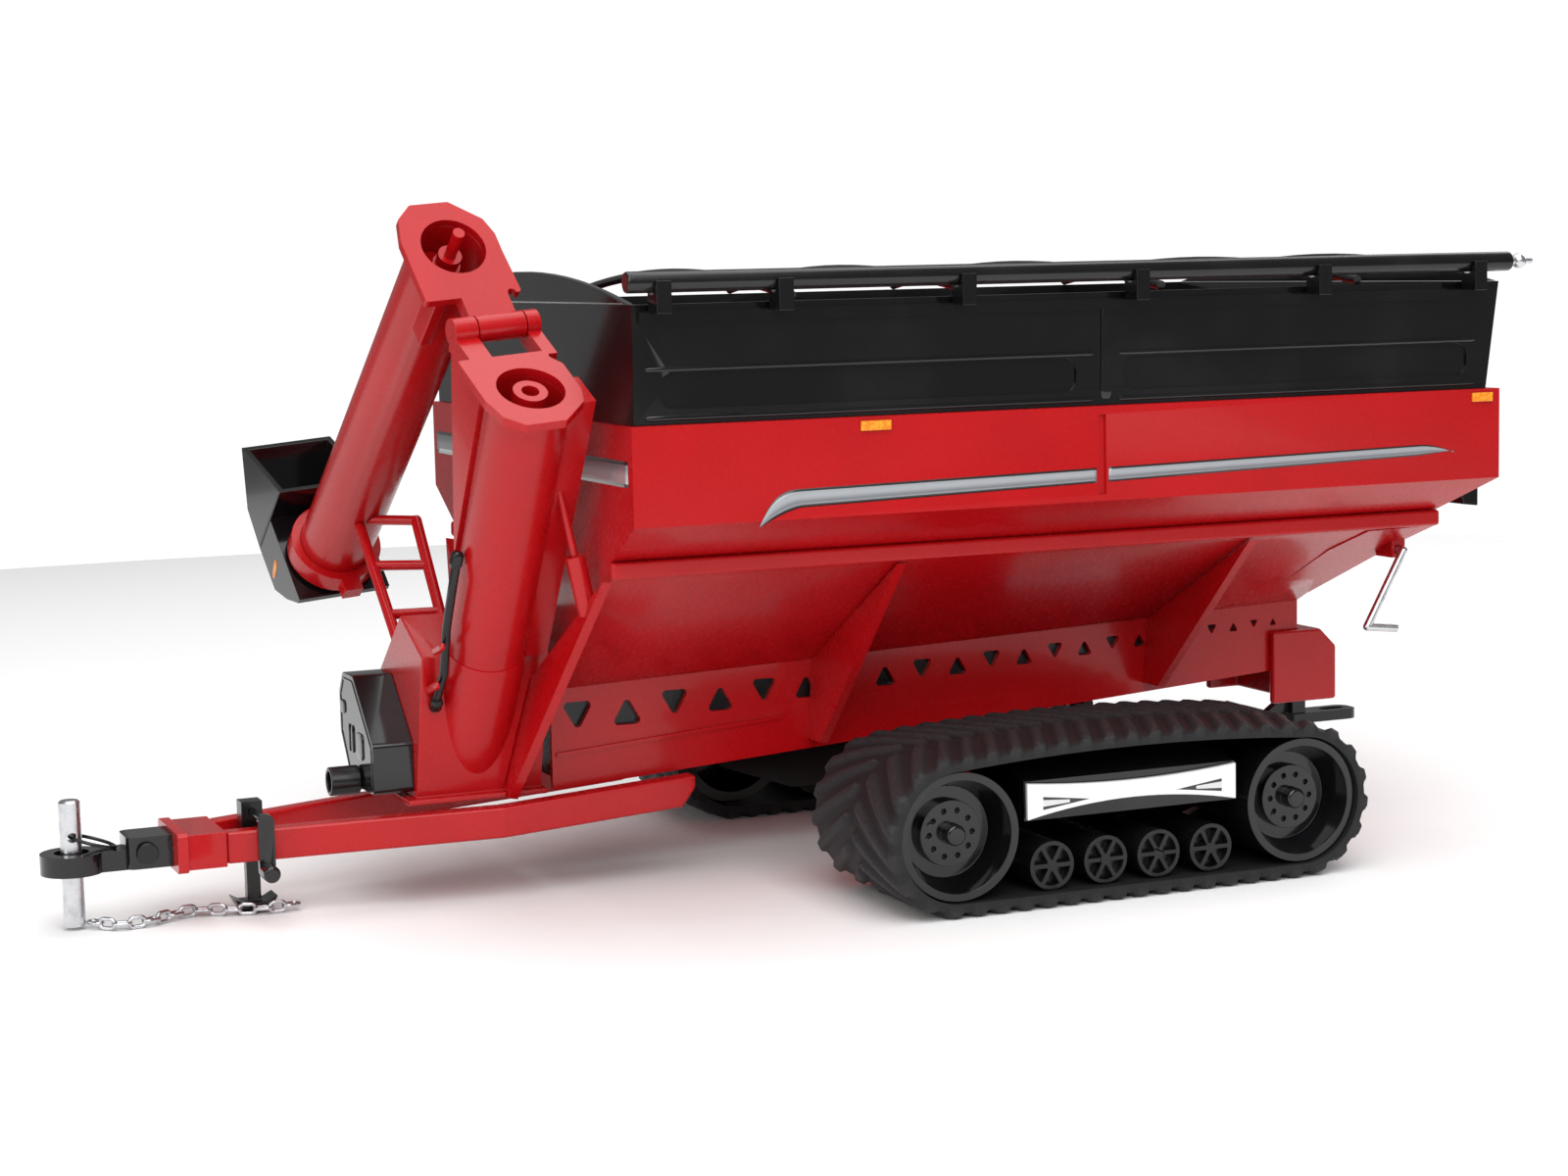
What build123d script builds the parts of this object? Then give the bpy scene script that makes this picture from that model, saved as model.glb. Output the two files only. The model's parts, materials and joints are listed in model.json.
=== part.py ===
from build123d import *
import math
import os

# A die-cast scale-model grain cart on rubber tracks, in millimetres.
# Forward, towards the hitch, is +X, the cart's left is +Y and up is +Z.
# While the parts are being made, x = 0 is the hopper's front wall and z = 0 is the ground.
# Every part is then moved by the same step, so that the origin is under the middle of the cart.

# Clearances: a running fit, a sideways running fit, and the step between two pieces that are seated
fit_gap = 0.05
side_gap = 0.12
seat_gap = 0.02

# Hopper
hopper_length = 92.0
hopper_width = 61.6
rim_height = 46.0
fold_height = 37.1
ridge_height = 32.0
ridge_band = 1.6
ridge_half_width = 24.5
trough_half_width = 6.0
trough_top_front = 19.6
trough_top_rise = 3.4
rail_bottom_front = 9.8
rail_bottom_slope = 0.068
rear_wall_top_inset = 3.0
rear_wall_foot_inset = 7.5
rear_wall_knee = 26.4
hopper_wall = 0.9
seam_depth = 0.3
seam_width = 0.8

# Sideboards, tarp bows and roll tarp
board_height = 10.3
board_wall = 0.9
board_inset = 0.8
board_flare = 1.2
board_lean = 0.4
emboss_depth = 0.25
arch_rise = 3.0
arch_thickness = 0.8
bow_radius = 0.45
bow_places = [16.0, 34.0, 54.0, 76.0]
roll_radius = 0.95
roll_bore_radius = 0.4
roll_gap = 0.15
latch_places = [2.5, 14.0, 32.0, 50.0, 70.0, 88.0]
knob_radius = 0.75

# Frame rails with triangular windows, gussets
rail_thickness = 0.7
window_count = 22
window_first_place = 2.7
window_first_pitch = 5.1
window_pitch_loss = 0.135
window_first_size = 3.4
window_last_size = 0.9
window_line_front = 16.8
window_line_slope = 0.0485
gusset_thickness = 0.9
gusset_places = [28.3, 66.8]
strip_thickness = 0.6

# Tongue, hitch and jack
beam_width = 2.0
beam_height = 3.0
beam_spread = 8.4
beam_kink = 6.0
beam_tail = 13.5
tongue_reach = 36.0
nose_length = 4.6
nose_width = 8.8
nose_height = 3.8
nose_centre_height = 6.95
eye_reach = 44.9
eye_height = 6.3
eye_radius = 2.9
eye_thickness = 1.9
pin_radius = 1.0
pin_length = 11.8
pin_bottom = 0.35
pin_gap = 0.6
jack_place = 28.2
jack_top = 10.6
jack_leg_width = 1.3
jack_sleeve_width = 2.0
jack_foot_length = 4.2
jack_travel = 2.4
crank_arm = 4.6
crank_side = 6.2
chain_wire = 0.19
chain_link_length = 1.9
chain_link_width = 1.25

# Auger
auger_lean = 33.3
hinge_skew = 8.0
fold_angle = 161.0
flange_centre = (7.6, 26.35, 49.6)
tube_radius = 3.75
tube_bore_radius = 3.05
lower_tube_length = 47.0
upper_tube_length = 51.5
flange_thickness = 0.9
flange_gap = 0.1
hinge_drop = 9.4
hinge_shift = -1.0
hinge_pin_radius = 0.45
knuckle_radius = 1.25
knuckle_length = 4.6
front_lug_thickness = 2.2
rear_lug_thickness = 1.3
shaft_radius = 1.3
socket_radius = 0.65
drive_pin_radius = 0.55
flight_radius = 2.75
flight_pitch = 6.0
flight_thickness = 0.45
collar_radius = 4.7
spout_half_width = 5.0
spout_reach = 15.1
spout_back = 4.7
spout_near = 5.4
spout_depth = 5.5
spout_wall = 0.6

# Gearbox
gearbox_back = 13.6
gearbox_front = 17.5
stub_length = 3.0
stub_radius = 1.4
stub_bore_radius = 0.95
stub_height = 11.6

# Tracks
track_middle = 47.5
wheel_spacing = 36.6
wheel_radius = 6.0
wheel_height = 7.55
wheel_face_recess = 3.0
belt_outer_side = 35.7
belt_width = 17.6
belt_gap = 0.15
belt_thickness = 0.95
lug_height = 0.45
lug_count = 46
belt_arch = 0.8
roller_radius = 2.3
roller_pitch = 5.7
roller_count = 4
axle_radius = 0.9
track_pivot_height = 11.4
track_pivot_radius = 1.6
wheel_side_gap = 0.3
hub_radius = 3.1
hub_hole_count = 10
hub_hole_ring = 2.2
hub_hole_radius = 0.26
spoke_count = 6
spoke_width = 0.42

# Rear
rear_post_place = 88.2
rear_post_height = 9.5
rear_frame_bottom = 11.8
rear_frame_top = 19.6

half_width = hopper_width / 2
board_top = rim_height + 0.3 + board_height
parts = {}


def rail_bottom(x):
    return rail_bottom_front - rail_bottom_slope * x


def trough_top(x):
    return trough_top_front - trough_top_rise * x / hopper_length


def box(x0, x1, y0, y1, z0, z1):
    block = Box(abs(x1 - x0), abs(y1 - y0), abs(z1 - z0))
    return block.moved(Location(((x0 + x1) / 2, (y0 + y1) / 2, (z0 + z1) / 2)))


def mirrored(shape):
    return shape.mirror(Plane.XZ)


def push(face, run, both=False):
    return extrude(face, amount=run.length, dir=run.normalized(), both=both)


def rod(start, end, radius):
    run = Vector(*end) - Vector(*start)
    place = Plane(origin=start, z_dir=run.normalized())
    return place.location * Cylinder(radius, run.length, align=(Align.CENTER, Align.CENTER, Align.MIN))


def polygon_prism(points, plane, depth):
    outline = make_face(Polyline(*points, close=True))
    return push(plane.location * outline, plane.z_dir * depth)


def side_plane(y):
    # Profiles drawn in x and z on this plane are pushed towards -Y.
    return Plane(origin=(0, y, 0), x_dir=(1, 0, 0), z_dir=(0, -1, 0))


def flat_plate(points, thickness):
    # The first three points set the plane, and the others are dropped onto it.
    corners = [Vector(*p) for p in points]
    normal = (corners[1] - corners[0]).cross(corners[2] - corners[0]).normalized()
    flat = [c - normal * (c - corners[0]).dot(normal) for c in corners]
    return push(make_face(Polyline(*flat, close=True)), normal * thickness)


def section(x, corners):
    return make_face(Polyline(*[(x, y, z) for y, z in corners], close=True))


# The hopper: straight walls above the fold, then inward slopes to a narrow trough.
def hopper_volume(inset, top):
    half = half_width - inset
    ridge = ridge_half_width - inset
    trough = trough_half_width - inset
    front = -inset
    rear = -hopper_length + inset
    floor = inset
    upper = box(front, rear, -half, half, fold_height, top)
    fold = Plane.XY.offset(fold_height).location * Rectangle(hopper_length - 2 * inset, 2 * half)
    fold = fold.moved(Location((-hopper_length / 2, 0, 0)))
    ridge_length = hopper_length - rear_wall_top_inset - 2 * inset
    ridge_face = Plane.XY.offset(ridge_height + ridge_band).location * Rectangle(ridge_length, 2 * ridge)
    ridge_face = ridge_face.moved(Location((front - ridge_length / 2, 0, 0)))
    shoulder = loft([ridge_face, fold], ruled=True)
    band_end = front - ridge_length
    band = box(front, band_end, -ridge, ridge, ridge_height + floor * 0.2, ridge_height + ridge_band)
    z_front = trough_top(0) + floor
    z_rear = trough_top(band_end) + floor
    z_ridge = ridge_height + floor * 0.2
    front_face = section(front, [(-ridge, z_ridge), (ridge, z_ridge), (trough, z_front), (-trough, z_front)])
    rear_face = section(band_end, [(-ridge, z_ridge), (ridge, z_ridge), (trough, z_rear), (-trough, z_rear)])
    belly = loft([front_face, rear_face], ruled=True)
    foot = -hopper_length + rear_wall_foot_inset + inset
    knee = rear_wall_knee + 0.5 * floor
    wedge_points = [(foot, z_rear - 6), (foot, knee), (band_end, z_ridge), (band_end - 9, z_ridge),
                    (band_end - 9, z_rear - 6)]
    wedge = push(make_face(Polyline(*[(x, -40, z) for x, z in wedge_points], close=True)), Vector(0, 80, 0))
    return upper + shoulder + band + (belly - wedge)


tub = hopper_volume(0, rim_height) - hopper_volume(hopper_wall, rim_height + 2)
seam_x = -hopper_length / 2 - 0.8
for side in (-1, 1):
    y_wall = side * half_width
    tub = tub - box(seam_x - seam_width / 2, seam_x + seam_width / 2,
                    y_wall - seam_depth, y_wall + seam_depth, fold_height + 0.6, rim_height - 0.8)
sump_length = 9.0
sump_half = trough_half_width - 1.4
tub = tub - box(-hopper_wall - 0.3, -sump_length, -sump_half, sump_half, 18, 22)
parts["hopper_tub"] = tub

# A bright ridge rail is seated on the outside of the hopper where the two slopes meet.
rail_out = 0.7
ridge_rails = []
for side in (-1, 1):
    rail = box(0.2, -hopper_length + rear_wall_top_inset, side * ridge_half_width,
               side * (ridge_half_width + rail_out), ridge_height, ridge_height + ridge_band)
    ridge_rails.append(rail)
parts["ridge_rails"] = Compound(children=ridge_rails)

# Black sideboards stand on the red rim and lean out a little at the back.
board_foot = rim_height + seat_gap
board_half = half_width - board_inset


def board_volume(inset, foot, top):
    low = Rectangle(hopper_length - board_inset * 2 - 2 * inset, 2 * (board_half - inset))
    low = low.moved(Location((-hopper_length / 2 + 0.3, 0, foot)))
    high_length = hopper_length - board_inset * 2 + board_flare - 2 * inset
    high = Rectangle(high_length, 2 * (board_half + board_lean - inset))
    high = high.moved(Location((-hopper_length / 2 + 0.3 - board_flare / 2, 0, top)))
    return loft([low, high], ruled=True)


boards = board_volume(0, board_foot, board_top) - board_volume(board_wall, board_foot - 0.5, board_top + 0.5)
for side in (-1, 1):
    for x0, x1 in ((-3.0, -44.5), (-49.5, -88.5)):
        recess = box(x0, x1, side * (board_half - emboss_depth + 0.12), side * (board_half + 2),
                     rim_height + 1.4, rim_height + 4.6)
        recess = fillet(recess.edges().filter_by(Axis.Y), 1.2)
        boards = boards - recess
    boards = boards + box(-1.0, -hopper_length + 0.5, side * (board_half + 0.3), side * (board_half + 0.75),
                          board_top - 1.6, board_top - 0.6)
parts["hopper_extension"] = boards


# Arched end plates carry the tarp, with bows between them.
def arch_plate(x, half, foot, rise, thickness):
    base = Line((x, -half, foot), (x, half, foot))
    crown = ThreePointArc((x, half, foot), (x, 0, foot + rise), (x, -half, foot))
    return push(make_face([base, crown]), Vector(-thickness, 0, 0))


arch_half = board_half + board_lean - board_wall / 2
front_arch = arch_plate(-board_inset + 0.6, arch_half, board_top + seat_gap, arch_rise, arch_thickness)
rear_arch = arch_plate(-hopper_length + 0.4, arch_half, board_top + seat_gap, arch_rise, arch_thickness)
parts["end_bulkheads"] = Compound(children=[front_arch, rear_arch])

bows = []
bow_half = board_half - board_wall / 2
bow_foot = board_top + bow_radius
bow_crown = bow_foot + arch_rise - 0.9
for place in bow_places:
    path = ThreePointArc((-place, -bow_half, bow_foot), (-place, 0, bow_crown), (-place, bow_half, bow_foot))
    ring = Plane(origin=path @ 0, z_dir=path % 0).location * Circle(bow_radius)
    bows.append(sweep(ring, path))
parts["tarp_bows"] = Compound(children=bows)

# The rolled tarp lies along the left rail in open brackets, and its bore takes a shaft.
roll_y = half_width + 0.9
roll_z = board_top + 1.95
roll_front = 0.6
roll_rear = -hopper_length - 0.3
roll = rod((roll_rear, roll_y, roll_z), (roll_front, roll_y, roll_z), roll_radius)
roll = roll - rod((roll_rear - 1, roll_y, roll_z), (roll_rear + 4, roll_y, roll_z), roll_bore_radius)
parts["tarp_roll"] = roll
knob_stem = rod((roll_rear - 0.9, roll_y, roll_z), (roll_rear + 3.6, roll_y, roll_z), roll_bore_radius - 0.01)
knob_ball = Sphere(knob_radius).moved(Location((roll_rear - 1.2, roll_y, roll_z)))
knob_tip = rod((roll_rear - 2.7, roll_y, roll_z), (roll_rear - 1.2, roll_y, roll_z), 0.28)
parts["roll_knob"] = knob_stem + knob_ball + knob_tip

latches = []
for place in latch_places:
    cradle = box(-place - 0.7, -place + 0.7, board_half + 0.8, roll_y + roll_radius + 0.5,
                 board_top - 0.8, roll_z + 0.1)
    hollow = rod((-place - 2, roll_y, roll_z), (-place + 2, roll_y, roll_z), roll_radius + roll_gap)
    latches.append(cradle - hollow)
parts["tarp_latches"] = Compound(children=latches)


# Frame rails: tall side plates under the trough with a row of triangular windows.
def window(x, z, size, upright):
    reach = size * 0.58
    angles = (90, 210, 330) if upright else (270, 30, 150)
    corners = [(x + reach * math.cos(math.radians(a)), z + reach * math.sin(math.radians(a))) for a in angles]
    outline = make_face(Polyline(*[(cx, 0, cz) for cx, cz in corners], close=True))
    cutter = push(outline, Vector(0, 20, 0), both=True)
    return fillet(cutter.edges().filter_by(Axis.Y), size * 0.13)


rail_front = 0.0
rail_rear = -hopper_length + rear_wall_foot_inset
rail_side = [(rail_front, rail_bottom(rail_front)), (rail_front, trough_top(rail_front)),
             (rail_rear, trough_top(rail_rear)), (rail_rear, rail_bottom(rail_rear))]
rail_profile = make_face(Polyline(*[(x, 0, z) for x, z in rail_side], close=True))
rail_inner = trough_half_width - rail_thickness
rail = push(rail_profile, Vector(0, rail_thickness, 0)).moved(Location((0, rail_inner, 0)))
windows = []
for index in range(window_count):
    share = index / (window_count - 1)
    x = -window_first_place - index * window_first_pitch + window_pitch_loss * index * (index - 1) / 2
    size = window_first_size + share * (window_last_size - window_first_size)
    upright = index % 2 == 1
    line_z = window_line_front - (x + window_first_place) * window_line_slope
    windows.append(window(x, line_z + size * 0.145 * (-1 if upright else 1), size, upright))
for cutter in windows:
    rail = rail - cutter
crease_points = [(-0.4, 13.1), (-24.0, 14.9), (-24.0, 15.25), (-0.4, 13.45)]
crease = polygon_prism(crease_points, side_plane(trough_half_width), -0.3)
rail = rail + crease
parts["frame_rails"] = Compound(children=[rail, mirrored(rail)])

core_front = rail_front - 0.6
core_rear = rail_rear + 0.6
core_profile = [(core_front, rail_bottom(rail_front) + 1.0), (core_front, trough_top(rail_front) - 0.05),
                (core_rear, trough_top(rail_rear) - 0.05), (core_rear, rail_bottom(rail_rear) + 0.6)]
core_face = make_face(Polyline(*[(x, 0, z) for x, z in core_profile], close=True))
core_half = rail_inner - seat_gap
parts["rail_core"] = push(core_face, Vector(0, core_half, 0), both=True)


# Gussets tie the rails to the ridge on both sides. The front pair leans forward at its foot.
def slope_z(x, y):
    share = (y - trough_half_width) / (ridge_half_width - trough_half_width)
    return trough_top(x) + share * (ridge_height - trough_top(x))


def side_gusset(x_top, x_foot, foot_y, foot_z, top_y, top_z):
    panel_z = trough_top(x_top)
    lean = (x_foot - x_top) / (top_z - foot_z)
    outline = [(top_y, top_z), (foot_y, foot_z), (trough_half_width + seat_gap, foot_z),
               (trough_half_width + seat_gap, panel_z - 0.05)]
    points = [(x_top + lean * (top_z - z), y, z) for y, z in outline]
    return flat_plate(points, gusset_thickness)


gussets = []
front_foot_z = rail_bottom_front
gussets.append(side_gusset(0.9, 5.0, 7.7, front_foot_z, ridge_half_width + 0.1, ridge_height - 0.1))
for place in gusset_places:
    foot_z = rail_bottom(-place) + 0.9
    gussets.append(side_gusset(-place, -place + 1.4, 9.0, foot_z, ridge_half_width + 0.2, ridge_height - 0.2))
strip_corners = [(3.7, 24.3), (7.4, 8.0), (13.2, 12.0), (12.9, 20.0), (11.0, 24.3)]
strip_points = [(-hopper_length + x, y, slope_z(-hopper_length + x, y)) for x, y in strip_corners]
gussets.append(flat_plate(strip_points, strip_thickness))
belly_cut = hopper_volume(0, rim_height)
gussets = [g - belly_cut for g in gussets]
gussets = [g.solids().sort_by(SortBy.VOLUME)[-1] for g in gussets]

# Tail frame and the tow post behind.
tail_rear = rear_post_place + 0.7
tail_half = trough_half_width + 0.9
tail = box(rail_rear - 0.02, -tail_rear, -tail_half, tail_half, rear_frame_bottom, rear_frame_top)
tail = chamfer(tail.edges().filter_by(Axis.Y).group_by(Axis.Z)[-1].sort_by(Axis.X)[0:1], 2.0)
for side in (-1, 1):
    tail = tail + box(rail_rear - 0.1, rail_rear + 3.6, side * (trough_half_width + 0.02), side * tail_half,
                      rear_frame_bottom, rear_frame_top)
parts["rear_frame"] = tail

post_bottom = rear_post_height
post_top = rear_frame_bottom - seat_gap
post_front = -rear_post_place + 1.3
post = box(post_front, -rear_post_place - 0.4, -1.4, 1.4, post_bottom, post_top)
web_points = [(post_front, post_bottom), (post_front + 3.1, post_bottom), (post_front, post_top - 0.1)]
web = polygon_prism(web_points, side_plane(0.5), 1.0)
loop_plate = box(post_front, -rear_post_place - 7.2, -1.7, 1.7, post_bottom - 1.1, post_bottom)
loop_plate = fillet(loop_plate.edges().filter_by(Axis.Z).sort_by(Axis.X)[0:2], 1.3)
slot = SlotOverall(3.0, 1.3).moved(Location((-rear_post_place - 4.6, 0, post_bottom - 2)))
loop_plate = loop_plate - extrude(slot, 4)
parts["rear_hitch"] = post + web + loop_plate

lamp_half = 2.6
lamp_profile = [(0.6, 36.6), (-2.1, 36.6), (-2.1, 33.7), (-0.4, 33.9)]
lamps = []
for side in (-1, 1):
    y0 = side * 22.0 - lamp_half
    face = make_face(Polyline(*[(x - hopper_length, y0, z) for x, z in lamp_profile], close=True))
    lamps.append(push(face, Vector(0, 2 * lamp_half, 0)) - belly_cut)
parts["rear_lamps"] = Compound(children=[s for lamp in lamps for s in lamp.solids()])

reflectors = []
for place, wide in ((23.4, 3.0), (89.8, 2.4)):
    for side in (-1, 1):
        reflectors.append(box(-place - wide / 2, -place + wide / 2, side * (half_width + seat_gap),
                              side * (half_width + 0.32), rim_height - 1.25, rim_height - 0.35))
parts["side_reflectors"] = Compound(children=reflectors)

# The tarp crank hangs from a bracket under the rear slope.
crank_x = -hopper_length + 5.1
crank_y = 20.6
crank_z = 29.3
crank_shaft = 0.42
crank_in = crank_y - 2.4
crank_out = crank_y + 1.3
bracket = box(crank_x - 0.8, crank_x + 0.8, crank_in, crank_y + 0.4, crank_z - 0.8, crank_z + 2.4)
for gusset in gussets:
    bracket = bracket - gusset
crank_room = rod((crank_x, crank_in - 0.6, crank_z), (crank_x, crank_out + 4, crank_z), crank_shaft + fit_gap)
bracket = bracket - hopper_volume(hopper_wall * 0.5, rim_height)
parts["hopper_tub"] = parts["hopper_tub"] + bracket - crank_room
gussets[-1] = (gussets[-1] - crank_room).solids().sort_by(SortBy.VOLUME)[-1]
parts["side_gussets"] = Compound(children=gussets + [mirrored(g) for g in gussets])
elbow = (crank_x, crank_out, crank_z)
arm_end = (crank_x + 4.4, crank_out, crank_z - 7.6)
grip_tip = (arm_end[0] - 3.2, arm_end[1] + 0.6, arm_end[2] - 0.3)
crank_wire = rod((crank_x, crank_in, crank_z), elbow, crank_shaft)
crank_wire = crank_wire + rod(elbow, arm_end, crank_shaft) + rod(arm_end, grip_tip, crank_shaft)
for corner in (elbow, arm_end):
    crank_wire = crank_wire + Sphere(crank_shaft).moved(Location(corner))
parts["tarp_crank"] = crank_wire

# Tongue: two beams spread from a nose box and run under the trough.
kink_z = rail_bottom(beam_kink) - 0.05 - beam_height / 2
tail_z = rail_bottom(-beam_tail) - 0.05 - beam_height / 2
nose_y = nose_width / 2 - beam_width / 2 - 0.3
nose_back = tongue_reach - nose_length


def beam_section(centre):
    x, y, z = centre
    half, rise = beam_width / 2, beam_height / 2
    corners = [(y - half, z - rise), (y + half, z - rise), (y + half, z + rise), (y - half, z + rise)]
    return section(x, corners)


def beam_run(start, end):
    return loft([beam_section(start), beam_section(end)], ruled=True)


beam_nose = (nose_back - seat_gap, nose_y, nose_centre_height)
beam_bend = (beam_kink, beam_spread, kink_z)
beam_foot = (-beam_tail, beam_spread, tail_z)
tail_points = [(-beam_tail - 1, tail_z - 3), (-beam_tail + 2.4, tail_z - 3), (-beam_tail - 1, tail_z + 1.6)]
tail_cut = polygon_prism(tail_points, side_plane(15), 15)
beam = beam_run(beam_nose, beam_bend) + beam_run(beam_bend, beam_foot) - tail_cut
parts["tongue_beams"] = Compound(children=[beam, mirrored(beam)])

nose = box(nose_back, tongue_reach, -nose_width / 2, nose_width / 2,
           nose_centre_height - nose_height / 2 + 0.25, nose_centre_height + nose_height / 2 - 0.25)
rim = box(tongue_reach - 1.0, tongue_reach, -nose_width / 2 - 0.3, nose_width / 2 + 0.3,
          nose_centre_height - nose_height / 2, nose_centre_height + nose_height / 2)
rim = fillet(rim.edges().filter_by(Axis.X), 0.5)
stem_half_width = 2.3
stem_half_height = 1.5
mouth_half = stem_half_width + seat_gap
mouth_rise = stem_half_height + seat_gap
mouth = box(tongue_reach - 2.6, tongue_reach + 1, -mouth_half, mouth_half,
            nose_centre_height - mouth_rise, nose_centre_height + mouth_rise)
parts["tongue_nose"] = nose + rim - mouth

# Hitch casting: a stem in the nose, a square body and a drawn-out eye.
stem = box(tongue_reach - 2.5, tongue_reach + 4.2, -stem_half_width, stem_half_width,
           nose_centre_height - stem_half_height, nose_centre_height + stem_half_height)
stem = fillet(stem.edges().filter_by(Axis.Z).sort_by(Axis.X)[-2:], 0.8)
eye = Cylinder(eye_radius, eye_thickness).moved(Location((eye_reach, 0, eye_height)))
eye_top = eye_height + eye_thickness / 2
neck = box(tongue_reach + 4.0, eye_reach, -1.5, 1.5, eye_height - eye_thickness / 2, eye_top)
eye_bore_radius = pin_radius + pin_gap
eye_hole = Cylinder(eye_bore_radius, 8).moved(Location((eye_reach, 0, eye_height)))
bolt_x = tongue_reach + 2.4
bolt_radius = 0.55
casting = stem + eye + neck - eye_hole


def bolt_run(y0, y1, radius):
    return rod((bolt_x, y0, nose_centre_height), (bolt_x, y1, nose_centre_height), radius)


parts["hitch_casting"] = casting - bolt_run(-6, 6, bolt_radius + seat_gap)
bolt = bolt_run(-stem_half_width - 0.6, stem_half_width + 0.6, bolt_radius)
for side in (-1, 1):
    bolt = bolt + bolt_run(side * (stem_half_width + seat_gap), side * (stem_half_width + 0.65), 1.0)
parts["hitch_bolt"] = bolt

# The draw pin has a cross hole for its keeper ring, which rests on the casting.
pin = Cylinder(pin_radius, pin_length, align=(Align.CENTER, Align.CENTER, Align.MIN))
pin = chamfer(pin.edges().group_by(Axis.Z)[-1], 0.2).moved(Location((eye_reach, 0, pin_bottom)))
keeper_wire = 0.17
keeper_radius = 2.15
keeper_slack = 0.3
keeper_hole_z = eye_top + 1.5
pin = pin - rod((eye_reach, -4, keeper_hole_z), (eye_reach, 4, keeper_hole_z), keeper_wire + keeper_slack)
parts["hitch_pin"] = pin
keeper_rest_z = eye_top + keeper_wire + seat_gap
keeper_tilt = math.asin((keeper_hole_z - keeper_rest_z) / (2 * keeper_radius))
keeper_reach = eye_reach + keeper_slack * 0.45
keeper_centre = (keeper_reach - keeper_radius * math.cos(keeper_tilt), 0, (keeper_hole_z + keeper_rest_z) / 2)
keeper_plane = Plane(origin=keeper_centre, x_dir=(math.cos(keeper_tilt), 0, math.sin(keeper_tilt)),
                     z_dir=(-math.sin(keeper_tilt), 0, math.cos(keeper_tilt)))
parts["pin_ring"] = keeper_plane.location * Torus(keeper_radius, keeper_wire)


# Jack: a sleeve on a cross plate, a leg that slides in it, and a crank at the left.
jack_leg_half = jack_leg_width / 2
sleeve_half = jack_sleeve_width / 2
cross_half_length = 1.4


def beam_share(x):
    return (nose_back - x) / (nose_back - beam_kink)


beam_at_jack = nose_centre_height + (kink_z - nose_centre_height) * beam_share(jack_place)
spread_at_plate = nose_y + (beam_spread - nose_y) * beam_share(jack_place + cross_half_length)
plate_half = spread_at_plate - beam_width / 2 - side_gap
sleeve = box(jack_place - sleeve_half, jack_place + sleeve_half, -sleeve_half, sleeve_half,
             beam_at_jack - 1.7, jack_top)
cross = box(jack_place - cross_half_length, jack_place + cross_half_length, -plate_half, plate_half,
            beam_at_jack - 0.7, beam_at_jack + 0.5)
leg_room_half = jack_leg_half + fit_gap
leg_room = box(jack_place - leg_room_half, jack_place + leg_room_half, -leg_room_half, leg_room_half,
               0, jack_top - 0.6)
crank_axle = 0.35
crank_axle_z = jack_top - 1.0
axle_bore = rod((jack_place, -5, crank_axle_z), (jack_place, 5, crank_axle_z), crank_axle + fit_gap)
parts["jack_sleeve"] = sleeve + cross - leg_room - axle_bore
leg_top = jack_top - 1.6 - jack_travel
leg = box(jack_place - jack_leg_half, jack_place + jack_leg_half, -jack_leg_half, jack_leg_half, 0.6, leg_top)
foot_half = jack_foot_length / 2
foot_profile = [(-foot_half, 1.5), (-foot_half + 0.6, 0.35), (-foot_half + 1.2, 0), (foot_half - 1.2, 0),
                (foot_half - 0.6, 0.35), (foot_half, 1.5), (foot_half - 0.9, 1.0), (-foot_half + 0.9, 1.0)]
foot_face = make_face(Polyline(*[(jack_place + x, -1.5, z) for x, z in foot_profile], close=True))
parts["jack_leg"] = leg + push(foot_face, Vector(0, 3.0, 0))


def crank_part(y0, y1, z, radius):
    return rod((jack_place, y0, z), (jack_place, y1, z), radius)


arm_half = 0.75
arm_out = crank_side + 0.7
grip_z = crank_axle_z - crank_arm
crank = crank_part(-sleeve_half - 0.5, crank_side, crank_axle_z, crank_axle)
crank_plate = box(jack_place - arm_half, jack_place + arm_half, crank_side, arm_out, grip_z, crank_axle_z)
for end_z in (crank_axle_z, grip_z):
    crank_plate = crank_plate + crank_part(crank_side, arm_out, end_z, arm_half)
grip_end = crank_part(arm_out - 0.1, crank_side + 2.6, grip_z, 0.8)
grip_end = fillet(grip_end.edges().filter_by(GeomType.CIRCLE).sort_by(Axis.Y)[-1:], 0.3)
parts["jack_crank"] = crank + crank_plate + grip_end


# Safety chain: oval links, each through the next, lying along the ground.
def chain_link(centre, direction, rolled):
    straight = (chain_link_length - chain_link_width) / 2
    bend = chain_link_width / 2 - chain_wire
    ring = Torus(bend, chain_wire)
    half_a = (ring & Box(4, 4, 4).moved(Location((2, 0, 0)))).moved(Location((straight, 0, 0)))
    half_b = (ring & Box(4, 4, 4).moved(Location((-2, 0, 0)))).moved(Location((-straight, 0, 0)))
    link = half_a + half_b
    for side in (-1, 1):
        link = link + rod((-straight, side * bend, 0), (straight, side * bend, 0), chain_wire)
    along = Vector(*direction).normalized()
    side_dir = Vector(0, 0, 1).cross(along).normalized()
    up = along.cross(side_dir)
    normal = up if not rolled else side_dir
    place = Plane(origin=centre, x_dir=along, z_dir=normal)
    return place.location * link


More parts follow.
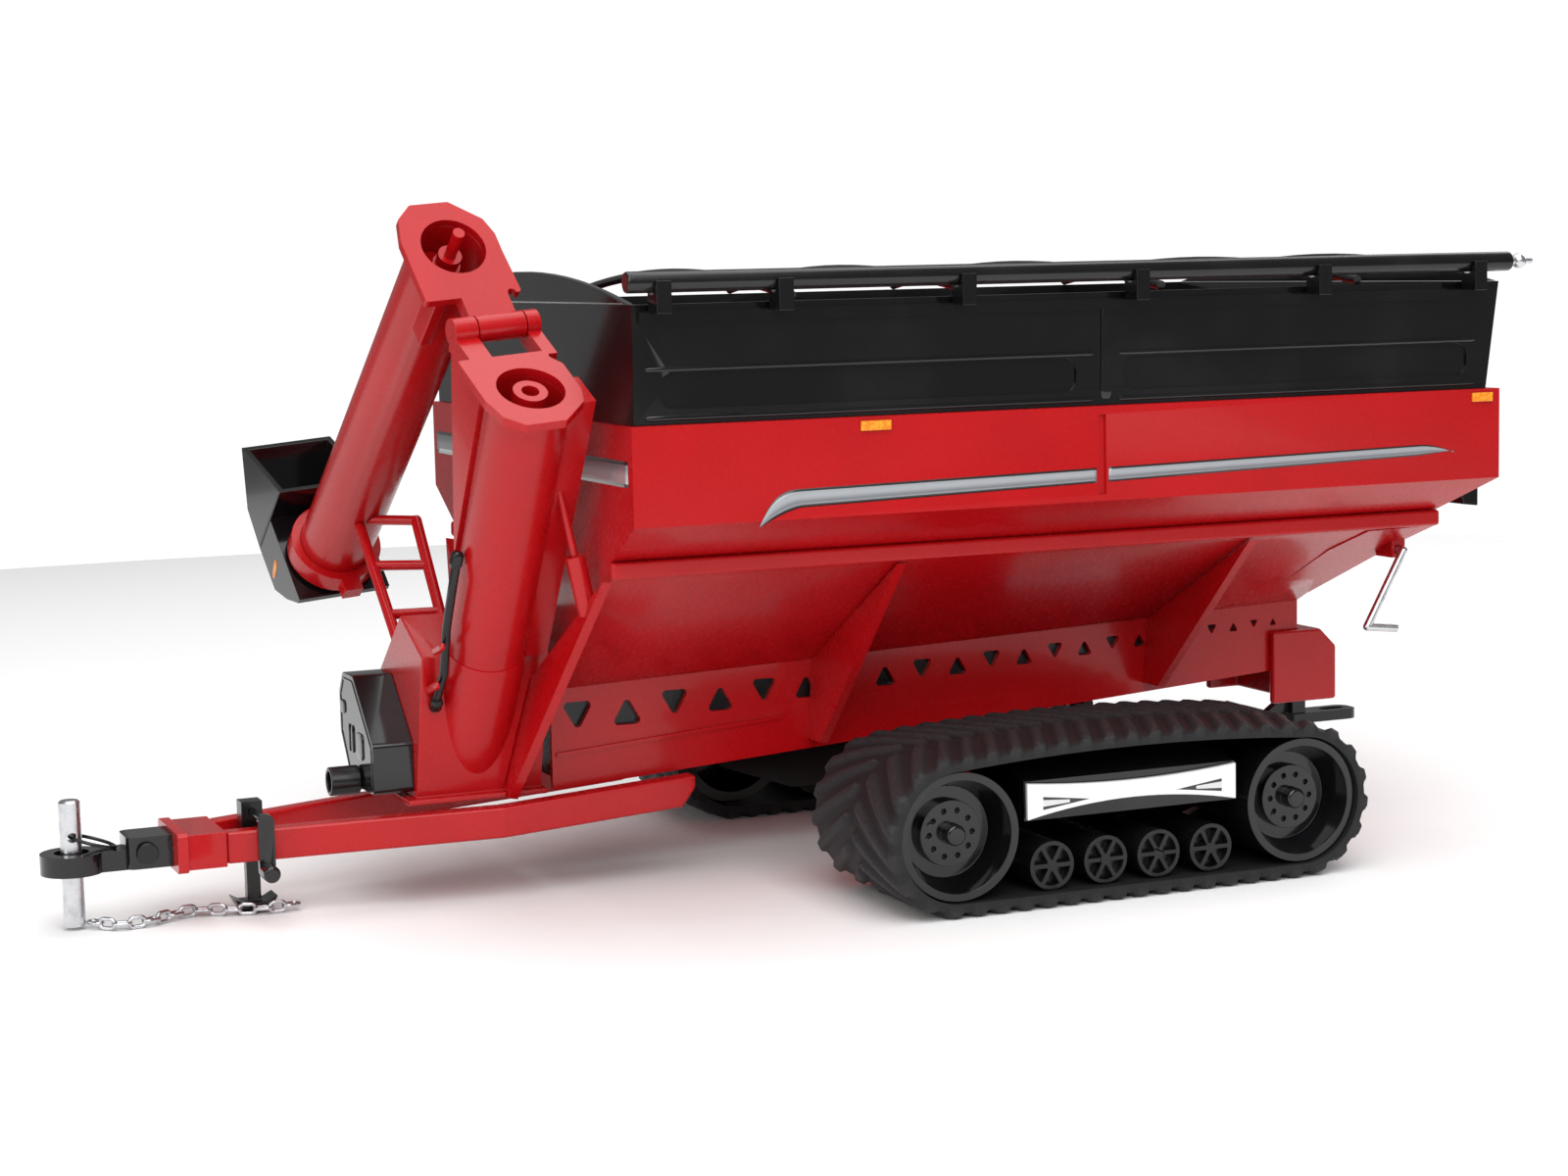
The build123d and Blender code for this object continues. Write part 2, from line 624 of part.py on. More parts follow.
chain_height = chain_link_width / 2 + seat_gap
chain_route = [(eye_reach - pin_radius - 0.4, 0.3), (eye_reach - 4.4, 2.7), (eye_reach - 7.5, 1.9),
               (eye_reach - 10.5, 0.4), (eye_reach - 13.5, 1.3), (jack_place - 0.5, 2.5),
               (jack_place - 4.4, 1.6)]
chain_path = Spline(*[(x, y, 0) for x, y in chain_route])
link_pitch = chain_link_length - 2.6 * chain_wire
link_total = int(chain_path.length // link_pitch)
links = []
for index in range(link_total):
    share = (index + 0.5) * link_pitch / chain_path.length
    spot = chain_path @ share
    heading = chain_path % share
    links.append(chain_link((spot.X, spot.Y, chain_height), (heading.X, heading.Y, 0), index % 2 == 1))
parts["safety_chain"] = Compound(children=[s for link in links for s in link.solids()])

# Auger. The tube's own frame has its origin on the lower flange, Z up the tube and X on the fold axis.
lean = math.radians(auger_lean)
skew = math.radians(hinge_skew)
tube_up = Vector(0, math.sin(lean), math.cos(lean))
fold_axis = Vector(math.cos(skew), math.sin(skew) * math.cos(lean), -math.sin(skew) * math.sin(lean))
tube_frame = Plane(origin=flange_centre, x_dir=fold_axis, z_dir=tube_up)
hinge_point = tube_frame.from_local_coords((hinge_shift, -hinge_drop, 0))
fold = Axis(hinge_point, fold_axis)


def in_tube_frame(shape):
    return tube_frame.location * shape


def folded(shape):
    return in_tube_frame(shape).rotate(fold, fold_angle)


def bore(z0, z1, radius):
    # A rod on the tube's own axis.
    return rod((0, 0, z0), (0, 0, z1), radius)


def hinge_rod(x0, x1, radius):
    return rod((x0, -hinge_drop, 0), (x1, -hinge_drop, 0), radius)


flange_far_half = [(-4.5, -1.0), (-4.5, 1.0), (-3.9, 2.8), (-1.2, 5.1), (2.6, 5.1), (4.2, 3.6), (4.8, 1.0)]
lower_hinge_half = [(4.8, -5.2), (-4.0, -5.2), (-3.7, -4.2), (-4.5, -3.0)]
upper_hinge_half = [(4.7, -5.8), (-4.7, -5.8)]


def flange_plate(hinge_half, z0, thickness):
    plate = extrude(make_face(Polyline(*(flange_far_half + hinge_half), close=True)), thickness)
    plate = plate.moved(Location((0, 0, z0)))
    return fillet(plate.edges().filter_by(Axis.Z), 0.35)


tube_bottom = -lower_tube_length
tube_end = -flange_thickness - seat_gap
lower = bore(tube_bottom, tube_end, tube_radius)
lower = lower + box(-tube_radius - 1.9, -tube_radius + 1.2, -1.9, 1.9, -30.0, tube_end)
lug_in = knuckle_length / 2 + side_gap
lug_spans = [(hinge_shift + lug_in, hinge_shift + lug_in + front_lug_thickness),
             (hinge_shift - lug_in - rear_lug_thickness, hinge_shift - lug_in)]
web_points = [(-hinge_drop + 0.4, -1.95), (-tube_radius + 1.4, -1.95), (-tube_radius + 1.4, -20.0)]
for x0, x1 in lug_spans:
    hinge_web = make_face(Polyline(*[(x0 + 0.1, y, z) for y, z in web_points], close=True))
    lower = lower + push(hinge_web, Vector(x1 - x0 - 0.2, 0, 0))
lower = lower - bore(tube_bottom + 1.0, 1, tube_bore_radius)
floor_height = rail_bottom_front + 0.55
lower_placed = in_tube_frame(lower) - box(-20, 40, -60, 60, -30, floor_height)
parts["lower_tube"] = lower_placed.solids().sort_by(SortBy.VOLUME)[-1]

lower_plate = flange_plate(lower_hinge_half, -flange_thickness, flange_thickness - flange_gap / 2)
lower_plate = lower_plate - Cylinder(tube_bore_radius, 10)
for x0, x1 in lug_spans:
    lower_plate = lower_plate + box(x0, x1, -hinge_drop, -4.6, -1.9, -flange_gap / 2)
    lower_plate = lower_plate + hinge_rod(x0, x1, knuckle_radius)
lower_plate = lower_plate - hinge_rod(-12, 12, hinge_pin_radius + 0.01)
parts["lower_flange"] = in_tube_frame(lower_plate)
parts["hinge_pin"] = in_tube_frame(hinge_rod(lug_spans[1][0], lug_spans[0][1], hinge_pin_radius))

upper_plate = flange_plate(upper_hinge_half, flange_gap / 2, flange_thickness - flange_gap / 2)
upper_plate = upper_plate - Cylinder(tube_bore_radius, 10)
knuckle_rear = hinge_shift - knuckle_length / 2
knuckle_front = hinge_shift + knuckle_length / 2
knuckle_arm = box(knuckle_rear, knuckle_front, -hinge_drop, -4.6, flange_gap / 2, 1.5)
notch = rod((-3.75, -5.75, -1), (-3.75, -5.75, 2), 0.4)
upper_plate = upper_plate + hinge_rod(knuckle_rear, knuckle_front, knuckle_radius) + knuckle_arm
upper_plate = upper_plate - hinge_rod(-12, 12, hinge_pin_radius + fit_gap) - notch
parts["upper_flange"] = folded(upper_plate)

upper = bore(flange_thickness + seat_gap, upper_tube_length, tube_radius)
strap = box(1.6, 2.8, -tube_radius - 0.9, -tube_radius + 1.4, flange_thickness + 0.7, 8.5)
upper = upper + strap - bore(-1, upper_tube_length + 1, tube_bore_radius)
parts["upper_tube"] = folded(upper)


# Flighting: a helical ribbon round a shaft.
def flighting(z0, z1, shaft):
    mean = (shaft + flight_radius) / 2 - 0.05
    spine = Helix(flight_pitch, z1 - z0 - 1.2, mean).moved(Location((0, 0, z0 + 0.6)))
    blade_plane = Plane(origin=spine @ 0, x_dir=(1, 0, 0), z_dir=spine % 0)
    blade_section = blade_plane.location * Rectangle(flight_radius - shaft + 0.5, flight_thickness)
    return sweep(blade_section, path=spine, is_frenet=True) + bore(z0, z1, shaft)


socket_depth = 2.2
socket_top = -0.35
socket_gap = 0.15
lower_flight = flighting(-lower_tube_length + 12.0, -flange_thickness - 1.0, shaft_radius)
lower_flight = lower_flight + bore(-flange_thickness - 1.2, socket_top, shaft_radius + 0.25)
lower_flight = lower_flight - bore(socket_top - socket_depth, 0, socket_radius + socket_gap)
parts["lower_flighting"] = in_tube_frame(lower_flight)
upper_flight = flighting(2.6, upper_tube_length - 3.0, shaft_radius)
upper_flight = upper_flight + bore(1.3, 3.0, shaft_radius - 0.2)
upper_flight = upper_flight + bore(0.3 - socket_depth, 2.0, drive_pin_radius)
parts["upper_flighting"] = folded(upper_flight)

# Spout: a collar, then a faceted hood that turns back over the tube's side.
collar_low = upper_tube_length - 2.6
collar = bore(collar_low, upper_tube_length - 0.4, collar_radius) - bore(0, 99, tube_radius + seat_gap)
collar_lug = box(-1.0, 1.0, -collar_radius - 1.3, -collar_radius + 0.4, collar_low, collar_low + 1.6)
parts["spout_collar"] = folded(collar + collar_lug)


def hood_profile(inset):
    start = upper_tube_length + 0.05
    foot = start + inset
    back = -spout_back + inset
    low = start + spout_depth - inset
    near = spout_near + inset
    lip = (0, spout_reach - 1.5 * inset, start + 0.6)
    corners = [(0, back, foot), (0, back, start + 0.7), (0, back + 2.2, low - 2.2), (0, back + 4.8, low),
               (0, spout_near, low), (0, spout_reach - 5.0, low - 0.5), lip,
               (0, near, start - 5.0), (0, near, foot)]
    return make_face(Polyline(*corners, close=True))


hood = push(hood_profile(0), Vector(spout_half_width, 0, 0), both=True)
hood_room = push(hood_profile(spout_wall), Vector(spout_half_width - spout_wall, 0, 0), both=True)
mouth_way = hood_room.moved(Location((0, 0.5, -0.6))) + hood_room.moved(Location((0, 0.2, -1.4)))
mouth_limit = box(-9, 9, spout_near + spout_wall, spout_reach - spout_wall,
                  upper_tube_length - 9, upper_tube_length + 0.6)
hood = hood - hood_room - (mouth_way & mouth_limit)
hood = hood - bore(upper_tube_length, upper_tube_length + 2, tube_bore_radius)
hood = hood.solids().sort_by(SortBy.VOLUME)[-1]
parts["spout_hood"] = folded(hood)

# Boot round the tube's foot, standing on a floor plate between the beams.
boot_front = gearbox_back - seat_gap
boot_points = [(-9.0, 10.35), (-9.0, 18.5), (-6.0, 21.0), (2.4, 27.4), (9.6, 24.2), (6.0, 10.35)]
boot_face = make_face(Polyline(*[(1.2, y, z) for y, z in boot_points], close=True))
boot = push(boot_face, Vector(boot_front - 1.2, 0, 0))
boot = boot + box(0.8, boot_front + 1.0, -7.0, 7.0, rail_bottom_front, 10.35)
boot = boot - in_tube_frame(bore(-lower_tube_length - 20, 0, tube_radius + seat_gap))
for gusset in (gussets[0], mirrored(gussets[0])):
    boot = boot - gusset
boot = boot.solids().sort_by(SortBy.VOLUME)[-1]
parts["auger_boot"] = boot

# Gearbox with a sloping left shoulder, and the hollow input stub.
gear_points = [(-2.7, 10.8), (-6.5, 15.4), (-6.5, 19.4), (-5.0, 21.4), (-1.2, 21.4), (5.4, 15.6), (5.4, 10.8)]
gear_face = make_face(Polyline(*[(gearbox_back, y, z) for y, z in gear_points], close=True))
gearbox = push(gear_face, Vector(gearbox_front - gearbox_back, 0, 0))
gearbox = fillet(gearbox.edges().filter_by(Axis.X), 0.7)


def input_rod(x0, x1, radius):
    return rod((gearbox_front + x0, 0, stub_height), (gearbox_front + x1, 0, stub_height), radius)


journal_radius = 1.0
parts["gearbox"] = gearbox - input_rod(-2.0, 9, journal_radius + fit_gap)
stub = input_rod(0.1, stub_length, stub_radius) + input_rod(-1.8, 0.5, journal_radius)
parts["pto_stub"] = stub - input_rod(1.2, 9, stub_bore_radius)

# Rest frame that carries the folded tube: two rails with rungs and a saddle.
rest_foot_a = (12.6, 0.6, 22.0)
rest_foot_b = (7.4, -1.4, 22.0)
rest_head_a = (12.2, -17.2, 35.0)
rest_head_b = (7.4, -12.6, 35.0)
rest_rail = 0.55
rest_gap = 0.12


def between(a, b, share):
    return tuple(a[i] + (b[i] - a[i]) * share for i in range(3))


rest = rod(rest_foot_a, rest_head_a, rest_rail) + rod(rest_foot_b, rest_head_b, rest_rail)
for share in (0.35, 0.68, 1.0):
    rung_start = between(rest_foot_a, rest_head_a, share)
    rung_end = between(rest_foot_b, rest_head_b, share)
    rest = rest + rod(rung_start, rung_end, 0.5)
for head in (rest_head_a, rest_head_b):
    rest = rest + Sphere(rest_rail).moved(Location(head))
rest = rest - boot - folded(bore(0, upper_tube_length, tube_radius + rest_gap))
parts["auger_rest"] = rest.solids().sort_by(SortBy.VOLUME)[-1]

# A brace from the hopper's corner steadies the tube.
brace_low = (0.95, 20.6, 28.6)
brace_mid = (2.2, 20.9, 34.0)
brace_high = (4.4, 21.6, 43.4)
brace = rod(brace_low, brace_mid, 0.9) + rod(brace_mid, brace_high, 0.35)
brace = brace - belly_cut - parts["lower_tube"] - in_tube_frame(Cylinder(tube_bore_radius + 0.3, 200))
brace = brace.solids().sort_by(SortBy.VOLUME)[-1]
for gusset in gussets:
    brace = brace - gusset
parts["fold_brace"] = brace.solids().sort_by(SortBy.VOLUME)[-1]

# Hydraulic hose clipped down the front of the tube.
hose_radius = 0.42
hose_points = [(11.9, 16.9, 34.6), (12.4, 16.3, 31.2), (12.3, 13.6, 27.2), (12.2, 12.0, 23.0),
               (12.2, 8.4, 19.2)]
hose_path = FilletPolyline(*hose_points, radius=2.2)
hose_ring = Plane(origin=hose_path @ 0, z_dir=hose_path % 0).location * Circle(hose_radius)
hose = sweep(hose_ring, hose_path)
parts["hydraulic_hose"] = hose - boot - parts["lower_tube"]

# Cross axle under the rails, with a pivot pin for each track.
axle_half = belt_outer_side - belt_width - 0.7
axle_x = -track_middle
axle_front = axle_x + 5.5
axle_rear = axle_x - 5.5
axle_block = box(axle_rear, axle_front, -axle_half, axle_half,
                 track_pivot_height - 2.4, track_pivot_height + 1.1)
saddle_half = axle_half - 6
saddle_points = [(axle_rear, track_pivot_height), (axle_front, track_pivot_height),
                 (axle_front, rail_bottom(axle_front) - seat_gap),
                 (axle_rear, rail_bottom(axle_rear) - seat_gap)]
saddle_face = make_face(Polyline(*[(x, -saddle_half, z) for x, z in saddle_points], close=True))
axle_block = axle_block + push(saddle_face, Vector(0, 2 * saddle_half, 0))
pivot_reach = axle_half + 6.5
pivot = rod((axle_x, -pivot_reach, track_pivot_height), (axle_x, pivot_reach, track_pivot_height),
            track_pivot_radius)
parts["axle_beam"] = axle_block + pivot

# One track, made on the left and mirrored to the right.
belt_inner_side = belt_outer_side - belt_width
wheel_x = (axle_x + wheel_spacing / 2, axle_x - wheel_spacing / 2)
belt_inner_radius = wheel_radius + belt_gap
belt_mid_radius = belt_inner_radius + belt_thickness


def loop_face(radius, arch):
    front, rear = wheel_x
    high = wheel_height + radius
    low = wheel_height - radius
    bottom = Line((rear, 0, low), (front, 0, low))
    nose = ThreePointArc((front, 0, low), (front + radius, 0, wheel_height), (front, 0, high))
    over = ThreePointArc((front, 0, high), (axle_x, 0, high + arch), (rear, 0, high))
    tail_arc = ThreePointArc((rear, 0, high), (rear - radius, 0, wheel_height), (rear, 0, low))
    return make_face([bottom, nose, over, tail_arc])


belt_side = Vector(0, belt_width, 0)
belt_outer_loop = loop_face(belt_mid_radius, belt_arch)
belt = push(belt_outer_loop, belt_side) - push(loop_face(belt_inner_radius, belt_arch), belt_side)
lug_path = belt_outer_loop.face().outer_wire()
lug_room = push(loop_face(belt_mid_radius + lug_height, belt_arch), belt_side)
lug_length = lug_path.length / lug_count
lugs = []
for index in range(lug_count):
    spot = lug_path @ (index / lug_count)
    heading = lug_path % (index / lug_count)
    lug_plane = Plane(origin=(spot.X, 0, spot.Z), x_dir=(heading.X, 0, heading.Z), z_dir=(0, 1, 0))
    tread = Rectangle(lug_length * 0.45, 2 * lug_height)
    lugs.append(extrude(lug_plane.location * tread, belt_width))
belt = belt + lugs
belt = belt & lug_room
belt = belt.moved(Location((0, belt_inner_side, 0)))

plate_in = belt_inner_side + 0.35
plate_out = plate_in + 1.2
spine_top = track_pivot_height + 2.2
front_end = wheel_x[0] + 2.2
rear_end = wheel_x[1] - 2.2
spine_points = [(front_end, wheel_height - 1.6), (front_end, wheel_height + 1.6), (axle_x + 12, spine_top),
                (axle_x - 12, spine_top), (rear_end, wheel_height + 1.6), (rear_end, wheel_height - 1.6),
                (axle_x - 12, 2.9), (axle_x + 12, 2.9)]
spine = polygon_prism(spine_points, side_plane(plate_in), plate_in - plate_out)
beam_out = belt_outer_side - 1.3
beam_front = axle_x + 11.3
beam_rear = axle_x - 11.3
beam_low = 8.2
beam_high = 13.2
beam_face = [(plate_out, beam_low + 0.8), (beam_out, beam_low), (beam_out, beam_high - 1.3),
             (beam_out - 5.5, beam_high + 0.3), (plate_out, beam_high + 0.3)]
side_beam = push(section(beam_front, beam_face), Vector(beam_rear - beam_front, 0, 0))
track_frame = spine + side_beam
roller_height = wheel_height - wheel_radius - belt_gap + roller_radius + 0.1
roller_x = [axle_x + roller_pitch * (1.5 - index) for index in range(roller_count)]
roller_axle_radius = 0.6
pin_end = beam_out - 1.5
wheel_pin_end = belt_outer_side - wheel_face_recess - 1.3
track_pins = [(x, wheel_height, wheel_pin_end, axle_radius) for x in wheel_x]
track_pins = track_pins + [(x, roller_height, pin_end, roller_axle_radius) for x in roller_x]
for x, z, tip, radius in track_pins:
    track_frame = track_frame + rod((x, plate_in, z), (x, tip, z), radius)
pivot_room = rod((axle_x, 0, track_pivot_height), (axle_x, pivot_reach + 0.3, track_pivot_height),
                 track_pivot_radius + fit_gap)
track_frame = track_frame - pivot_room

panel_front = beam_front - 0.1
panel_rear = beam_rear + 0.1
panel_low = beam_low + 0.1
panel_high = beam_high - 1.4
panel_points = [(panel_front, panel_low), (panel_front, panel_high), (axle_x, panel_high - 0.6),
                (panel_rear, panel_high), (panel_rear, panel_low), (axle_x, panel_low + 1.2)]
p = [(x, beam_out + seat_gap, z) for x, z in panel_points]
panel_edges = [Line(p[0], p[1]), ThreePointArc(p[1], p[2], p[3]), Line(p[3], p[4]),
               ThreePointArc(p[4], p[5], p[0])]
panel = push(make_face(panel_edges), Vector(0, 0.5, 0))


def wheel_rod(x, y0, y1, radius):
    return rod((x, y0, wheel_height), (x, y1, wheel_height), radius)


def big_wheel(x):
    inner_face = plate_out + wheel_side_gap
    outer_face = belt_outer_side - 0.5
    dish_floor = outer_face - wheel_face_recess
    body = wheel_rod(x, inner_face, outer_face, wheel_radius)
    dish = Cone(wheel_radius - 1.7, wheel_radius - 0.75, wheel_face_recess,
                align=(Align.CENTER, Align.CENTER, Align.MIN))
    dish_place = Plane(origin=(x, dish_floor, wheel_height), z_dir=(0, 1, 0))
    cap = wheel_rod(x, dish_floor, outer_face - 0.7, 1.0)
    cap = fillet(cap.edges().filter_by(GeomType.CIRCLE).sort_by(Axis.Y)[-1:], 0.35)
    body = body - dish_place.location * dish + wheel_rod(x, dish_floor, dish_floor + 1.0, hub_radius) + cap
    for number in range(hub_hole_count):
        angle = math.radians(360 / hub_hole_count * number)
        bx = x + hub_hole_ring * math.cos(angle)
        bz = wheel_height + hub_hole_ring * math.sin(angle)
        body = body - rod((bx, dish_floor + 0.5, bz), (bx, outer_face, bz), hub_hole_radius)
    back = wheel_rod(x, inner_face - 1, inner_face + 6.5, wheel_radius - 1.2)
    body = body - (back - wheel_rod(x, inner_face - 1, inner_face + 6.5, 2.0))
    return body - wheel_rod(x, 0, wheel_pin_end + 0.2, axle_radius + fit_gap)


def roller_rod(x, y0, y1, radius):
    return rod((x, y0, roller_height), (x, y1, roller_height), radius)


def road_roller(x):
    inner_face = plate_out + wheel_side_gap
    outer_face = beam_out + 0.2
    body = roller_rod(x, inner_face, outer_face, roller_radius)
    recess = roller_rod(x, outer_face - 0.9, outer_face + 1, roller_radius - 0.4)
    recess = recess - roller_rod(x, outer_face - 0.9, outer_face + 1, 0.55)
    for number in range(spoke_count):
        spoke = Box(2 * roller_radius, 3.0, spoke_width).rotate(Axis.Y, 360 / spoke_count * number)
        recess = recess - spoke.moved(Location((x, outer_face - 0.6, roller_height)))
    return body - recess - roller_rod(x, 0, pin_end + 0.2, roller_axle_radius + fit_gap)


def place_track(side, name, shape):
    parts[name + "_" + side] = shape if side == "left" else mirrored(shape)


wheels = [big_wheel(x) for x in wheel_x]
rollers = [road_roller(x) for x in roller_x]
for side in ("left", "right"):
    place_track(side, "belt", belt)
    place_track(side, "track_frame", track_frame)
    place_track(side, "track_panel", panel)
    place_track(side, "front_wheel", wheels[0])
    place_track(side, "rear_wheel", wheels[1])
    for number, roller in enumerate(rollers, 1):
        place_track(side, "roller_%d" % number, roller)

# The origin goes under the middle of everything.
boxes = [shape.bounding_box() for shape in parts.values()]
low = Vector(min(b.min.X for b in boxes), min(b.min.Y for b in boxes), min(b.min.Z for b in boxes))
high = Vector(max(b.max.X for b in boxes), max(b.max.Y for b in boxes), max(b.max.Z for b in boxes))
shift = Vector(-(low.X + high.X) / 2, -(low.Y + high.Y) / 2, -low.Z)
overall = high - low

if __name__ == "__main__":
    os.makedirs("parts", exist_ok=True)
    for name, shape in parts.items():
        placed = shape.moved(Location(shift))
        placed.label = name
        export_step(placed, "parts/" + name + ".step")
    print("overall", overall, "shift", shift)
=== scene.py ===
import json
import math

import bmesh
import bpy
import numpy as np
from mathutils import Matrix, Vector


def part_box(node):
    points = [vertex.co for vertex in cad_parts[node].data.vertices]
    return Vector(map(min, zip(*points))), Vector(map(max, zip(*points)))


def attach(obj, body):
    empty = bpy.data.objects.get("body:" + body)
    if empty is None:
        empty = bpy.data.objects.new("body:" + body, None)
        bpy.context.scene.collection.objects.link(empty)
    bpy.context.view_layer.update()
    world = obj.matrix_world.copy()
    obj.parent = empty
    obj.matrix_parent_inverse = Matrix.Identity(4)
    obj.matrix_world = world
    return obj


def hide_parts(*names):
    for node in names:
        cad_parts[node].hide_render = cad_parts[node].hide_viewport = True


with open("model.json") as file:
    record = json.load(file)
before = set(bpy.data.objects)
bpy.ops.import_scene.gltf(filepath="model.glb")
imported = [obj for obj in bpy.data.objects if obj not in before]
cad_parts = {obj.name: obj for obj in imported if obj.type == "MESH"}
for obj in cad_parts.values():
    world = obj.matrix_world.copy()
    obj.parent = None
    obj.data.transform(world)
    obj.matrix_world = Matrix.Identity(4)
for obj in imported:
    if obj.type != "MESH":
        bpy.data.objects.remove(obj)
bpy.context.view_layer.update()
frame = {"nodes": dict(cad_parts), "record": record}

mm = 0.001
metre = 1000.0                                       # in millimetres
tubLow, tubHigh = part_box("hopper_tub")
frontWall = tubHigh[0] / mm                          # every place below counts from this wall,
middle = (tubLow[1] + tubHigh[1]) / 2 / mm           # from the cart's middle plane and from the ground
print("frame loaded, hopper front wall at", round(frontWall, 2), "mm")


def place(points):
    # millimetres from the front wall, the middle plane and the ground, turned into metres in the frame
    return (np.asarray(points, float) + (frontWall, middle, 0.0)) * mm


def local(corner):
    # a frame point in metres, as millimetres from the front wall, the middle plane and the ground
    return np.array((corner[0] / mm - frontWall, corner[1] / mm - middle, corner[2] / mm))


def nodeBox(node):
    low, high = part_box(node)
    return local(low), local(high)


bodyOf = {}
for bodyName, members in frame["record"]["behaviour"]["bodies"].items():
    for member in members:
        bodyOf[member] = bodyName


# ---- finishes

class Wire:
    # one value in a shader; sums and products of wires add their Math nodes
    def __init__(self, finish, socket):
        self.finish = finish
        self.socket = socket

    def __add__(self, other):
        return self.finish.maths("ADD", self, other)

    def __sub__(self, other):
        return self.finish.maths("SUBTRACT", self, other)

    def __rsub__(self, other):
        return self.finish.maths("SUBTRACT", other, self)

    def __mul__(self, other):
        return self.finish.maths("MULTIPLY", self, other)

    def __truediv__(self, other):
        return self.finish.maths("DIVIDE", self, other)

    def __abs__(self):
        return self.finish.maths("ABSOLUTE", self)

    __radd__ = __add__
    __rmul__ = __mul__


class Finish:
    # a material with its Principled shader, and the few calls that feed it
    def __init__(self, name, **constants):
        self.material = bpy.data.materials.new(name)
        self.material.use_nodes = True
        self.tree = self.material.node_tree
        self.shader = self.tree.nodes["Principled BSDF"]
        for socketName, value in constants.items():
            self.shader.inputs[socketName].default_value = value
        self.material.diffuse_color = tuple(self.shader.inputs["Base Color"].default_value)

    def node(self, kind, settings=None, inputs=None):
        made = self.tree.nodes.new(kind)
        for name, value in (settings or {}).items():
            setattr(made, name, value)
        for name, value in (inputs or {}).items():
            if isinstance(value, Wire):
                self.tree.links.new(value.socket, made.inputs[name])
            else:
                made.inputs[name].default_value = value
        return made

    def maths(self, operation, first, second=0.0):
        made = self.node("ShaderNodeMath", {"operation": operation}, {0: first, 1: second})
        return Wire(self, made.outputs[0])

    def step(self, value, edge, soft):
        # 0 below the edge and 1 above it, with a smooth change as wide as soft
        made = self.node("ShaderNodeMapRange", {"interpolation_type": "SMOOTHSTEP"},
                         {"Value": value, "From Min": edge - soft / 2, "From Max": edge + soft / 2})
        return Wire(self, made.outputs["Result"])

    def objectPlace(self):
        return Wire(self, self.node("ShaderNodeTexCoord").outputs["Object"])

    def axes(self):
        # the three coordinates in millimetres from the front wall, the middle plane and the ground
        split = self.node("ShaderNodeSeparateXYZ", None, {0: self.objectPlace()})
        x, y, z = (Wire(self, out) for out in split.outputs)
        return x * metre - frontWall, y * metre - middle, z * metre

    def noise(self, perMillimetre, detail=3.0, roughness=0.5):
        made = self.node("ShaderNodeTexNoise", None,
                         {"Vector": self.objectPlace(), "Scale": perMillimetre * metre, "Detail": detail,
                          "Roughness": roughness})
        return Wire(self, made.outputs["Fac"])

    def attribute(self, name):
        made = self.node("ShaderNodeAttribute", {"attribute_name": name})
        return Wire(self, made.outputs["Fac"])

    def across(self):
        # the second texture coordinate
        corner = Wire(self, self.node("ShaderNodeUVMap").outputs["UV"])
        return Wire(self, self.node("ShaderNodeSeparateXYZ", None, {0: corner}).outputs[1])

    def blend(self, mask, first, second):
        made = self.node("ShaderNodeMix", {"data_type": "RGBA"})
        for index, value in ((0, mask), (6, first), (7, second)):
            if isinstance(value, Wire):
                self.tree.links.new(value.socket, made.inputs[index])
            else:
                made.inputs[index].default_value = value
        return Wire(self, made.outputs[2])

    def feed(self, socketName, wire):
        self.tree.links.new(wire.socket, self.shader.inputs[socketName])

    def bump(self, height, deep):
        # deep is in millimetres
        made = self.node("ShaderNodeBump", None, {"Height": height, "Distance": deep * mm, "Strength": 1.0})
        self.tree.links.new(made.outputs["Normal"], self.shader.inputs["Normal"])


finishes = {}

redLook = {"colour": (0.46, 0.004, 0.0065, 1), "deep": (0.41, 0.0035, 0.0055, 1), "roughness": 0.27,
           "peel": 0.0005, "specular": 0.28, "coat": 0.22, "coatRoughness": 0.07}


def redPaint(name="redPaint"):
    # sprayed gloss enamel: a faint orange peel, and a slow change of depth over the casting
    made = Finish(name, **{"Base Color": redLook["colour"], "Specular IOR Level": redLook["specular"],
                           "Coat Weight": redLook["coat"], "Coat Roughness": redLook["coatRoughness"]})
    slow = made.noise(0.09, 2.0)
    fine = made.noise(1.9, 2.0)
    made.feed("Base Color", made.blend(made.step(slow, 0.5, 0.5), redLook["colour"], redLook["deep"]))
    made.feed("Roughness", fine * 0.05 + (redLook["roughness"] - 0.025))
    made.bump(fine, redLook["peel"])
    return made


blackLook = {"colour": (0.004, 0.004, 0.0045, 1), "dust": (0.008, 0.008, 0.009, 1), "specular": 0.4,
             "coatRoughness": 0.05}


def blackPlastic(name, roughness, peel, coat):
    # moulded styrene: glossy or satin, with a fine grain and a little dust in the slow patches
    made = Finish(name, **{"Base Color": blackLook["colour"], "Specular IOR Level": blackLook["specular"],
                           "Coat Weight": coat, "Coat Roughness": blackLook["coatRoughness"]})
    slow = made.noise(0.12, 3.0)
    fine = made.noise(2.6, 3.0)
    made.feed("Base Color", made.blend(made.step(slow, 0.58, 0.3), blackLook["colour"], blackLook["dust"]))
    made.feed("Roughness", fine * 0.04 + slow * 0.05 + (roughness - 0.045))
    made.bump(fine, peel)
    return made


rubberLook = {"colour": (0.011, 0.011, 0.012, 1), "worn": (0.026, 0.026, 0.028, 1), "roughness": 0.6,
              "specular": 0.35, "grain": 0.03}


